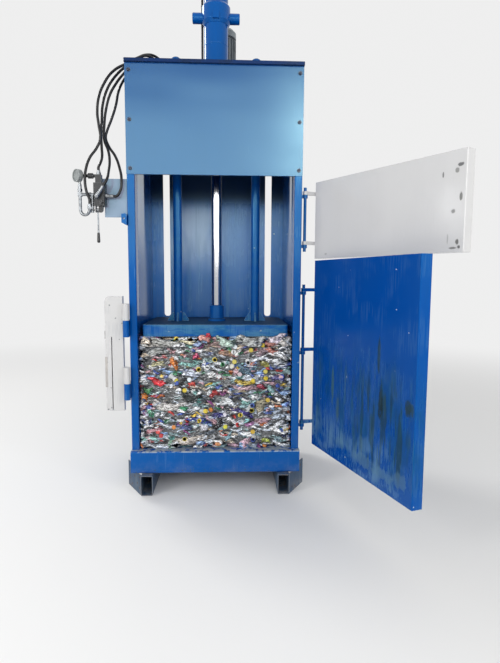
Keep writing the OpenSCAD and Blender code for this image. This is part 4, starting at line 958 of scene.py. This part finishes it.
# Larger bits in the bale's front face: place across, height, width, height, tint
FRONT_BITS = (
    (-0.390, 0.749, 0.105, 0.056, (0.56, 0.035, 0.045)), (-0.282, 0.864, 0.060, 0.075, (0.55, 0.17, 0.03)),
    (0.186, 0.744, 0.150, 0.034, (0.52, 0.38, 0.06)), (0.180, 0.708, 0.165, 0.028, (0.66, 0.46, 0.50)),
    (-0.133, 0.913, 0.048, 0.038, (0.42, 0.05, 0.12)), (-0.007, 0.658, 0.075, 0.044, (0.26, 0.012, 0.012)),
    (-0.157, 0.720, 0.060, 0.036, (0.55, 0.05, 0.03)), (-0.070, 0.855, 0.044, 0.070, (0.78, 0.80, 0.82)),
    (-0.021, 0.782, 0.082, 0.036, (0.80, 0.80, 0.80)), (0.143, 0.950, 0.066, 0.040, (0.80, 0.79, 0.76)),
    (-0.325, 0.585, 0.260, 0.075, (0.50, 0.48, 0.46)), (0.080, 0.596, 0.120, 0.062, (0.66, 0.68, 0.68)),
    (0.205, 0.608, 0.070, 0.036, (0.22, 0.42, 0.38)), (0.312, 0.594, 0.090, 0.085, (0.30, 0.27, 0.19)),
    (-0.173, 0.345, 0.300, 0.062, (0.48, 0.43, 0.38)), (-0.110, 0.478, 0.170, 0.036, (0.05, 0.07, 0.28)),
    (-0.215, 0.440, 0.130, 0.034, (0.10, 0.12, 0.24)), (0.020, 0.512, 0.120, 0.034, (0.035, 0.035, 0.17)),
    (0.180, 0.533, 0.180, 0.038, (0.030, 0.018, 0.16)), (0.016, 0.450, 0.080, 0.050, (0.010, 0.010, 0.014)),
    (0.107, 0.480, 0.075, 0.030, (0.78, 0.77, 0.78)), (-0.080, 0.440, 0.075, 0.048, (0.62, 0.61, 0.66)),
    (-0.163, 0.644, 0.150, 0.052, (0.030, 0.038, 0.038)), (-0.220, 0.566, 0.070, 0.030, (0.06, 0.28, 0.14)),
    (-0.437, 0.532, 0.060, 0.050, (0.07, 0.25, 0.15)), (-0.453, 0.691, 0.060, 0.034, (0.06, 0.22, 0.08)),
    (-0.478, 0.640, 0.050, 0.044, (0.52, 0.17, 0.03)), (0.069, 0.938, 0.110, 0.040, (0.34, 0.20, 0.14)),
    (0.317, 0.943, 0.110, 0.052, (0.32, 0.23, 0.26)), (-0.415, 0.410, 0.120, 0.034, (0.52, 0.25, 0.28)),
    (0.230, 0.453, 0.060, 0.028, (0.46, 0.22, 0.42)), (0.085, 0.365, 0.055, 0.052, (0.28, 0.46, 0.54)),
    (0.305, 0.709, 0.075, 0.034, (0.28, 0.035, 0.06)), (0.018, 0.319, 0.055, 0.030, (0.62, 0.28, 0.12)),
    (0.344, 0.330, 0.070, 0.028, (0.42, 0.48, 0.10)), (0.374, 0.689, 0.060, 0.044, (0.20, 0.36, 0.35)),
    (-0.174, 0.795, 0.130, 0.036, (0.52, 0.56, 0.66)), (0.452, 0.392, 0.060, 0.048, (0.035, 0.04, 0.10)),
    (0.337, 0.860, 0.080, 0.040, (0.30, 0.28, 0.06)), (-0.400, 0.860, 0.150, 0.030, (0.40, 0.38, 0.22)),
    (0.371, 0.960, 0.090, 0.055, (0.46, 0.16, 0.12)), (-0.400, 0.940, 0.200, 0.040, (0.34, 0.35, 0.34)),
    (0.420, 0.760, 0.110, 0.036, (0.09, 0.08, 0.22)), (0.200, 0.830, 0.130, 0.070, (0.10, 0.17, 0.22)),
)
# Ragged top edge of the bale in front of the platen, in the same way
EDGE_BITS = (
    (-0.455, 1.012, 0.085, 0.060, (0.55, 0.48, 0.40)), (-0.335, 1.012, 0.210, 0.052, (0.36, 0.36, 0.34)),
    (-0.252, 0.998, 0.108, 0.040, (0.76, 0.77, 0.79)), (-0.180, 1.018, 0.120, 0.026, (0.58, 0.54, 0.36)),
    (-0.078, 1.036, 0.085, 0.036, (0.60, 0.28, 0.24)), (-0.048, 1.056, 0.046, 0.036, (0.42, 0.03, 0.05)),
    (-0.120, 1.008, 0.070, 0.034, (0.20, 0.26, 0.40)), (0.069, 1.020, 0.145, 0.066, (0.42, 0.54, 0.46)),
    (0.240, 1.030, 0.200, 0.080, (0.36, 0.37, 0.36)), (0.405, 1.046, 0.130, 0.060, (0.60, 0.52, 0.58)),
    (0.371, 1.006, 0.090, 0.034, (0.46, 0.20, 0.16)), (0.455, 1.006, 0.075, 0.044, (0.50, 0.46, 0.42)),
    (0.000, 1.000, 0.110, 0.028, (0.22, 0.15, 0.14)), (-0.420, 0.992, 0.140, 0.022, (0.30, 0.29, 0.27)),
)
# Caps that face out of the front: place across, height and tint
FRONT_CAPS = (
    (-0.270, 0.760, (0.56, 0.50, 0.04)), (-0.209, 0.690, (0.60, 0.46, 0.03)),
    (0.337, 0.815, (0.54, 0.46, 0.08)), (0.129, 0.882, (0.58, 0.50, 0.10)),
    (0.236, 0.962, (0.56, 0.44, 0.04)), (0.067, 0.434, (0.58, 0.56, 0.04)),
    (0.250, 0.397, (0.60, 0.38, 0.03)), (0.060, 0.520, (0.74, 0.72, 0.78)),
    (0.108, 0.852, (0.66, 0.64, 0.54)), (0.352, 0.619, (0.56, 0.38, 0.03)),
    (-0.176, 0.760, (0.70, 0.76, 0.82)), (0.160, 0.796, (0.62, 0.50, 0.52)),
    (0.440, 0.779, (0.62, 0.40, 0.42)), (-0.390, 0.399, (0.60, 0.06, 0.05)),
    (0.130, 0.985, (0.70, 0.76, 0.78)),
)


def own_tint(tree):
    """The tint that each point of a heap brings along."""
    return add(tree, "ShaderNodeAttribute", attribute_name="tint", attribute_type="GEOMETRY").outputs["Color"]


def bale_plastic():
    """Crushed clear and coloured plastic: creased and glossy, with painted shade in its folds and grubby
    blotches.
    """
    finish = Finish("pressed_plastic", None, 0.30, ior=1.36, coat_weight=0.10, coat_roughness=0.12)
    folds = finish.effect("Crumple", Tint=own_tint(finish.tree), Scale=66.0, Depth=0.9)
    finish.colour = folds["Colour"]
    finish.raise_by(folds["Height"], 0.0035)
    finish.lay(finish.blotches(0.52, 0.66, 9.0, detail=5.0), (0.10, 0.09, 0.08), 0.6, amount=0.2)
    return finish.done(None)


def cap_plastic():
    """Hard coloured plastic of the caps and necks, scuffed."""
    finish = Finish("cap_plastic", None, 0.38)
    finish.colour = own_tint(finish.tree)
    finish.lay(finish.blotches(0.50, 0.68, 160.0, detail=4.0), (0.30, 0.29, 0.28), 0.6, amount=0.35)
    return finish.done(None)


def put_crushed(heap, rng, shape, place, size, tone, turn, low, high, plain=False):
    """Presses one crushed bottle or film into the bale and holds it inside the bale's walls."""
    points, faces = shape
    tints = (plain_tints if plain else plastic_tints)(rng, points, tone)
    shaped = turned(crush(points, rng, size), *turn) + np.array(place)
    heap.put(np.clip(shaped, low, high), faces, tints)


def put_cap(heap, place, facing, tone, low, high, with_neck=False):
    """Presses a cap into the bale with its top towards a way, on a neck if it has one."""
    roll = Vector(facing).to_track_quat("Z", "Y").to_matrix()
    for points, faces in ((CAP, NECK) if with_neck else (CAP,)):
        is_cap = points is CAP[0]
        tints = np.tile(np.array(tone if is_cap else NECK_TINT), (len(points), 1))
        laid = points + (np.array((0, 0, NECK_RISE)) if with_neck and is_cap else 0)
        laid = laid @ np.array(roll).T + np.array(place)
        heap.put(np.clip(laid, low, high), faces, tints)


def pack_front(rng, heap, caps, rows, low, high):
    """Layers of crushed bottles across the face that shows, with the larger bits over them."""
    shape = ball(3)
    pitch = (high[2] - low[2]) / rows
    for row in range(rows):
        x = low[0] - rng.uniform(0.0, 0.05)
        while x < high[0]:
            long = rng.uniform(0.070, 0.170)
            size = (long, rng.uniform(0.035, 0.075), rng.uniform(0.70, 1.5) * pitch)
            front = low[1] + 0.004 + 0.026 * rng.random() ** 1.4
            place = (x + long / 2, front + size[1] / 2, low[2] + (row + 0.5) * pitch + rng.gauss(0, 0.004))
            turn = (rng.gauss(0, 0.2), rng.gauss(0, 0.13), rng.gauss(0, 0.3))
            tone = choose(rng, BOTTLE_TINTS) * (0.98 + (1 - row / rows) * np.array(LOW_TONE))
            put_crushed(heap, rng, shape, place, size, tone, turn, low, high)
            x += long * rng.uniform(0.62, 0.85)
    scrap = ball(2)
    for _ in range(SCRAP_COUNT):
        size = (rng.uniform(0.025, 0.075), 0.016, rng.uniform(0.010, 0.028))
        place = (rng.uniform(low[0], high[0]), low[1] + rng.uniform(0.006, 0.013),
                 rng.uniform(low[2], high[2]))
        turn = (rng.gauss(0, 0.1), rng.gauss(0, 0.35), rng.gauss(0, 0.2))
        put_crushed(heap, rng, scrap, place, size, choose(rng, LABEL_TINTS), turn, low, high, plain=True)
    for x, z, wide, tall, tone in FRONT_BITS:
        place = (x, low[1] + 0.015, z)
        turn = (rng.gauss(0, 0.05), rng.gauss(0, 0.08), rng.gauss(0, 0.1))
        put_crushed(heap, rng, shape, place, (wide, 0.034, tall), np.array(tone), turn, low, high, plain=True)
    for x, z, tone in FRONT_CAPS:
        facing = (rng.gauss(0, 0.35), -1.0, rng.gauss(0, 0.3))
        put_cap(caps, (x, low[1] + 0.013, z), facing, tone, low, high)
    for _ in range(LOOSE_CAP_COUNT):
        place = (rng.uniform(low[0] + 0.02, high[0] - 0.02), low[1] + rng.uniform(0.013, 0.022),
                 rng.uniform(low[2] + 0.02, high[2] - 0.02))
        facing = (rng.gauss(0, 0.8), -1.0, rng.gauss(0, 0.5))
        put_cap(caps, place, facing, choose(rng, CAP_TINTS), low, high, rng.random() < 0.5)


def pack_face(rng, heap, caps, axis, side, count, low, high):
    """Crushed bottles over one of the other faces: axis 0 is across, 1 depth and 2 height."""
    shape = ball(3)
    for _ in range(count):
        size = [rng.uniform(0.08, 0.16), rng.uniform(0.06, 0.12), rng.uniform(0.025, 0.045)]
        place = [rng.uniform(low[k], high[k]) for k in range(3)]
        inward = size[axis] / 2 + rng.uniform(-0.004, 0.012)
        place[axis] = high[axis] - inward if side > 0 else low[axis] + inward
        turn = (rng.uniform(0, 3) if axis == 2 else rng.gauss(0, 0.25), rng.gauss(0, 0.12), rng.gauss(0, 0.2))
        put_crushed(heap, rng, shape, place, size, choose(rng, BOTTLE_TINTS), turn, low, high)
    for _ in range(count // 8):
        place = [rng.uniform(low[k] + 0.02, high[k] - 0.02) for k in range(3)]
        place[axis] = high[axis] - 0.014 if side > 0 else low[axis] + 0.014
        facing = [rng.gauss(0, 0.4) for _ in range(3)]
        facing[axis] = side
        put_cap(caps, place, facing, choose(rng, CAP_TINTS), low, high, rng.random() < 0.4)


def room_in(name, margins):
    """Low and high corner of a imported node's box, drawn in by its margins."""
    low, high = (np.array(corner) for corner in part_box(name))
    return low + margins[0], high - np.array(margins[1])


def put_core(heap, rng, low, high):
    """Grey crumpled heart of the bale, which closes the gaps between the outer layers; its dark tint is
    painted shade in those gaps.
    """
    shape = bmesh.new()
    bmesh.ops.create_cube(shape, size=2.0)
    bmesh.ops.subdivide_edges(shape, edges=shape.edges, cuts=13, use_grid_fill=True)
    bmesh.ops.triangulate(shape, faces=shape.faces)
    points, faces = taken_from(shape)
    inset = 0.026 + 0.004 * waves(points * 3, rng, (5.1, 7.7, 11.3), 0.5)
    middle, half = (low + high) / 2, (high - low) / 2
    heap.put(middle + points * (half[None, :] - inset[:, None]), faces,
             plastic_tints(rng, points * 4, np.array(CORE_SHADE_TINT), 0.0))


# Camera: place, turn, tilt and roll in degrees, and its lens and film height in millimetres
CAMERA_PLACE = (0.0856, -3.666, 1.438)
CAMERA_TURN, CAMERA_TILT, CAMERA_ROLL = -2.47, 90 - 6.02, 0.29
CAMERA_LENS, FILM_HEIGHT = 27.27, 36.0
# Half the width of the floor, and the distances between which it fades into the backdrop
FLOOR_HALF = 14
FLOOR_FADE = (2.2, 9.0)
# Colour of the backdrop
BACKDROP = (0.86, 0.86, 0.86)
# Lamps: name, place, point that it faces, width and height, watts
STAGE_LAMPS = (
    ("wide_softbox", (0.0, -9.0, 3.65), (0.0, 0.0, 2.2), (12.0, 3.7), 300),
    ("left_window", (-4.2, -4.0, 3.2), (0.0, 0.0, 1.6), (1.8, 2.2), 110),
    ("right_window", (4.4, -4.6, 3.0), (0.0, 0.0, 1.4), (1.6, 2.2), 70),
    ("near_right_window", (1.55, -4.6, 3.65), (0.5, -0.36, 2.4), (1.1, 0.8), 9),
    ("side_window", (-4.8, 3.6, 6.0), (0.0, 0.0, 3.2), (2.0, 3.0), 230),
    ("panel_glow", (1.85, -9.0, 4.9), (0.0, 0.0, 2.6), (0.9, 2.4), 42),
    ("door_glint", (-4.14, -0.80, 2.46), (1.146, -1.228, 1.78), (0.30, 0.62), 2),
)


# Operators, one for each piece or group of like pieces


class BALER_OT_camera(bpy.types.Operator):
    """Places the camera where the press is seen from"""

    bl_idname = "baler.camera"
    bl_label = "Camera"

    def execute(self, context):
        data = bpy.data.cameras.new("Camera")
        data.sensor_fit = "VERTICAL"
        data.sensor_height = FILM_HEIGHT
        data.lens = CAMERA_LENS
        camera = placed("Camera", data)
        turn = Matrix.Rotation(math.radians(CAMERA_TURN), 4, "Z")
        tilt = Matrix.Rotation(math.radians(CAMERA_TILT), 4, "X")
        roll = Matrix.Rotation(math.radians(CAMERA_ROLL), 4, "Z")
        camera.matrix_world = Matrix.Translation(CAMERA_PLACE) @ turn @ tilt @ roll
        context.scene.camera = camera
        context.scene.view_settings.view_transform = "Standard"
        return {"FINISHED"}


class BALER_OT_hoses(bpy.types.Operator):
    """Lays the four hydraulic hoses along their routes"""

    bl_idname = "baler.hoses"
    bl_label = "Hoses"

    def execute(self, context):
        settings = context.scene.baler_hoses
        material = hose_rubber(settings.rubber)
        for name, route in HOSE_ROUTES.items():
            curve = bpy.data.curves.new("rubber_" + name, "CURVE")
            curve.dimensions = "3D"
            curve.bevel_depth = settings.diameter / 2
            curve.bevel_resolution = 5
            curve.use_fill_caps = True
            curve.resolution_u = 10
            spline = curve.splines.new("BEZIER")
            spline.bezier_points.add(len(route) - 1)
            for point, place in zip(spline.bezier_points, route):
                point.co = place
                point.handle_left_type = point.handle_right_type = "AUTO"
            hose = placed("rubber_" + name, curve)
            curve.materials.append(material)
            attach(hose, "frame")
            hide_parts(name)
        return {"FINISHED"}


class BALER_OT_frame(bpy.types.Operator):
    """Paints the posts, rails, ribs, head beams and bed in glossy machine blue"""

    bl_idname = "baler.frame"
    bl_label = "Frame"

    def execute(self, context):
        dress(frame_paint("frame_blue_paint"), "rear_sill", "side_rail_left", "side_rail_right", "back_ribs",
              "head_beams", "post_front_left", "post_front_right", "post_rear_left", "post_rear_right")
        dress(frame_paint("deck_worn_blue", wear=1.8, dust_to=0.3), "floor_deck")
        dress(sill_paint(), "front_sill")
        return {"FINISHED"}


class BALER_OT_feet(bpy.types.Operator):
    """Finishes the two skid feet in dull, scuffed blue"""

    bl_idname = "baler.feet"
    bl_label = "Feet"

    def execute(self, context):
        dress(foot_paint(), "foot_left", "foot_right")
        return {"FINISHED"}


class BALER_OT_walls(bpy.types.Operator):
    """Finishes the chamber's side walls and back wall, rubbed by waste"""

    bl_idname = "baler.walls"
    bl_label = "Chamber walls"

    def execute(self, context):
        dress(side_wall_paint(), "side_wall_left", "side_wall_right")
        dress(back_wall_paint(), "back_wall")
        return {"FINISHED"}


class BALER_OT_cover(bpy.types.Operator):
    """Paints the glossy cover panel and blackens its bolts"""

    bl_idname = "baler.cover"
    bl_label = "Cover panel"

    def execute(self, context):
        dress(panel_paint(), "cover_panel")
        dress(dark_steel("bolt_dark_blue", (0.004, 0.014, 0.045)), "cover_bolts")
        dress(top_plate_paint(), "top_plate")
        return {"FINISHED"}


class BALER_OT_cylinder(bpy.types.Operator):
    """Paints the cylinder and its collar, and bares its machined parts"""

    bl_idname = "baler.cylinder"
    bl_label = "Cylinder"

    def execute(self, context):
        dress(frame_paint("cylinder_blue_paint", wear=0.3, dust_to=0.03, gloss=0.11), "cylinder_tube",
              "cylinder_cap", "trunnion_collar", "cylinder_flange")
        dress(machined_steel(), "cylinder_gland", "piston", "guide_bushes")
        dress(dark_steel(), "cylinder_pipe")
        return {"FINISHED"}


class BALER_OT_ram(bpy.types.Operator):
    """Finishes the chromed rod, the guides and the worn platen"""

    bl_idname = "baler.ram"
    bl_label = "Ram"

    def execute(self, context):
        dress(chrome(), "piston_rod")
        dress(ram_paint("guide_blue", 0.15), "guide_left", "guide_right", "rod_boss")
        dress(ram_paint("platen_worn_blue", 0.85), "platen", "platen_face")
        return {"FINISHED"}


class BALER_OT_power(bpy.types.Operator):
    """Finishes the oil tank and the motor under its cowl"""

    bl_idname = "baler.power"
    bl_label = "Power unit"

    def execute(self, context):
        dress(frame_paint("tank_blue_paint", wear=0.6, dust_to=0.03), "oil_tank")
        dress(motor_paint("motor_grey_enamel", (0.13, 0.15, 0.16)), "motor")
        dress(motor_paint("cowl_grey_enamel", (0.20, 0.23, 0.24)), "motor_cowl")
        return {"FINISHED"}


class BALER_OT_lower_door(bpy.types.Operator):
    """Finishes the lower door, wiped and scuffed by bales, and its hinges"""

    bl_idname = "baler.lower_door"
    bl_label = "Lower door"

    def execute(self, context):
        dress(lower_door_paint(), "lower_door", "lower_door_frame")
        dress(frame_paint("hinge_blue_paint", wear=1.4), "hinge_lugs", "lower_hinge_rod", "upper_hinge_rod",
              "door_keeper")
        return {"FINISHED"}


class BALER_OT_upper_door(bpy.types.Operator):
    """Finishes the grey-white upper door"""

    bl_idname = "baler.upper_door"
    bl_label = "Upper door"

    def execute(self, context):
        dress(upper_door_paint(), "upper_door", "upper_door_frame")
        return {"FINISHED"}


class BALER_OT_latch(bpy.types.Operator):
    """Finishes the swinging latch plate, its handle and its lugs"""

    bl_idname = "baler.latch"
    bl_label = "Latch"

    def execute(self, context):
        dress(latch_paint(), "latch_bar")
        dress(machined_steel("latch_bare_steel"), "latch_pins")
        dress(motor_paint("handle_grey_paint", (0.40, 0.38, 0.36)), "latch_handle")
        dress(frame_paint("lug_blue_paint", wear=1.6), "latch_lugs")
        return {"FINISHED"}


class BALER_OT_valve(bpy.types.Operator):
    """Finishes the control valve, its lever, gauge, fittings and bracket"""

    bl_idname = "baler.valve"
    bl_label = "Valve"

    def execute(self, context):
        dress(frame_paint("bracket_pale_blue", colour=(0.23, 0.27, 0.36), wear=0.6), "valve_bracket")
        dress(dark_steel("valve_dark_steel"), "valve_block")
        dress(zinc(), "hose_fittings", "valve_lever")
        dress(gauge_case(), "gauge")
        dress(moulded_grip(), "lever_grip")
        return {"FINISHED"}


class BALER_OT_bale(bpy.types.Operator):
    """Presses bottles, films and caps into the bale"""

    bl_idname = "baler.bale"
    bl_label = "Bale"

    def execute(self, context):
        settings = context.scene.baler_bale
        rng = random.Random(settings.seed)
        low, high = room_in("bale", BALE_MARGINS)
        plastic, hard = bale_plastic(), cap_plastic()
        front, rest, caps = Heap(), Heap(), Heap()
        put_core(rest, rng, low, high)
        pack_front(rng, front, caps, settings.rows, low, high)
        for axis, side, count in OTHER_FACES:
            pack_face(rng, rest, caps, axis, side, count, low, high)
        edge_low, edge_high = room_in("bale_edge", EDGE_MARGINS)
        shape = ball(3)
        for x, z, wide, tall, tone in EDGE_BITS:
            turn = (0.0, rng.gauss(0, 0.1), 0.0)
            place = (x, (edge_low[1] + edge_high[1]) / 2, z)
            put_crushed(front, rng, shape, place, (wide, 0.016, tall), np.array(tone), turn,
                        edge_low, edge_high, plain=True)
        front.build("bale_front_layer", plastic)
        rest.build("bale_body", plastic)
        caps.build("bale_caps", hard, smooth=False)
        return {"FINISHED"}


class BALER_OT_stage(bpy.types.Operator):
    """Lays the floor and sets soft, plain light"""

    bl_idname = "baler.stage"
    bl_label = "Stage"

    def execute(self, context):
        settings = context.scene.baler_stage
        mesh = bpy.data.meshes.new("floor")
        corners = [(x * FLOOR_HALF, y * FLOOR_HALF, 0) for x, y in ((-1, -1), (1, -1), (1, 1), (-1, 1))]
        mesh.from_pydata(corners, [], [(0, 1, 2, 3)])
        floor = placed("floor", mesh)
        finish = Finish("floor", tuple(settings.floor), 0.7)
        material, tree, shader = finish.done(None), finish.tree, finish.shader
        away = add(tree, "ShaderNodeVectorMath", {0: here(tree)}, operation="LENGTH").outputs["Value"]
        seen = add(tree, "ShaderNodeLightPath").outputs["Is Camera Ray"]
        far = times(tree, remap(tree, away, *FLOOR_FADE), seen)
        glow = add(tree, "ShaderNodeEmission", {"Color": (*BACKDROP, 1.0), "Strength": 1.0})
        blend = add(tree, "ShaderNodeMixShader", {0: far, 1: shader.outputs[0], 2: glow.outputs[0]})
        tree.links.new(blend.outputs[0], tree.nodes["Material Output"].inputs["Surface"])
        mesh.materials.append(material)
        world = bpy.data.worlds.new("sky")
        context.scene.world = world
        world.use_nodes = True
        tree = world.node_tree
        lit = tree.nodes["Background"]
        lit.inputs["Color"].default_value = (0.95, 0.97, 1.0, 1.0)
        lit.inputs["Strength"].default_value = settings.sky
        seen = add(tree, "ShaderNodeBackground", {"Color": (*BACKDROP, 1.0), "Strength": 1.0})
        rays = add(tree, "ShaderNodeLightPath")
        mirrored = calc(tree, "MAXIMUM", rays.outputs["Is Glossy Ray"], rays.outputs["Is Transmission Ray"])
        mirrored = calc(tree, "MAXIMUM", mirrored, rays.outputs["Is Camera Ray"])
        shown = add(tree, "ShaderNodeMixShader", {0: mirrored, 1: lit.outputs[0], 2: seen.outputs[0]})
        tree.links.new(shown.outputs[0], tree.nodes["World Output"].inputs["Surface"])
        for name, place, aim, size, energy in STAGE_LAMPS:
            data = bpy.data.lights.new(name, "AREA")
            data.shape = "RECTANGLE"
            data.size, data.size_y = size
            data.energy = energy * settings.lamps
            lamp = placed(name, data)
            lamp.location = place
            lamp.visible_camera = False
            lamp.rotation_euler = (Vector(aim) - Vector(place)).to_track_quat("-Z", "Y").to_euler()
        return {"FINISHED"}


class BALER_PT_panel(bpy.types.Panel):
    """Lists the baler's pieces and their settings"""

    bl_label = "Baler"
    bl_space_type = "VIEW_3D"
    bl_region_type = "UI"
    bl_category = "Baler"

    def draw(self, context):
        for name, kind in SETTINGS.items():
            settings = getattr(context.scene, name)
            for value in kind.__annotations__:
                self.layout.prop(settings, value)
        for operator in OPERATORS:
            self.layout.operator(operator.bl_idname)


SETTINGS = {
    "baler_paint": BALER_PaintSettings,
    "baler_hoses": BALER_HoseSettings,
    "baler_bale": BALER_BaleSettings,
    "baler_stage": BALER_StageSettings,
}
OPERATORS = (
    BALER_OT_camera, BALER_OT_hoses, BALER_OT_frame, BALER_OT_feet, BALER_OT_walls, BALER_OT_cover,
    BALER_OT_cylinder, BALER_OT_ram, BALER_OT_power, BALER_OT_lower_door, BALER_OT_upper_door,
    BALER_OT_latch, BALER_OT_valve, BALER_OT_bale, BALER_OT_stage,
)


def register():
    """Adds the settings, the operators and the panel."""
    for kind in (*SETTINGS.values(), *OPERATORS, BALER_PT_panel):
        bpy.utils.register_class(kind)
    for name, kind in SETTINGS.items():
        setattr(bpy.types.Scene, name, bpy.props.PointerProperty(type=kind))


def unregister():
    """Takes them away again."""
    for name in SETTINGS:
        delattr(bpy.types.Scene, name)
    for kind in (BALER_PT_panel, *reversed(OPERATORS), *SETTINGS.values()):
        bpy.utils.unregister_class(kind)


def main():
    """Registers the add-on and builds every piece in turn."""
    register()
    bpy.ops.baler.camera()
    bpy.ops.baler.hoses()
    bpy.ops.baler.frame()
    bpy.ops.baler.feet()
    bpy.ops.baler.walls()
    bpy.ops.baler.cover()
    bpy.ops.baler.cylinder()
    bpy.ops.baler.ram()
    bpy.ops.baler.power()
    bpy.ops.baler.lower_door()
    bpy.ops.baler.upper_door()
    bpy.ops.baler.latch()
    bpy.ops.baler.valve()
    bpy.ops.baler.bale()
    bpy.ops.baler.stage()


if __name__ == "__main__":
    main()
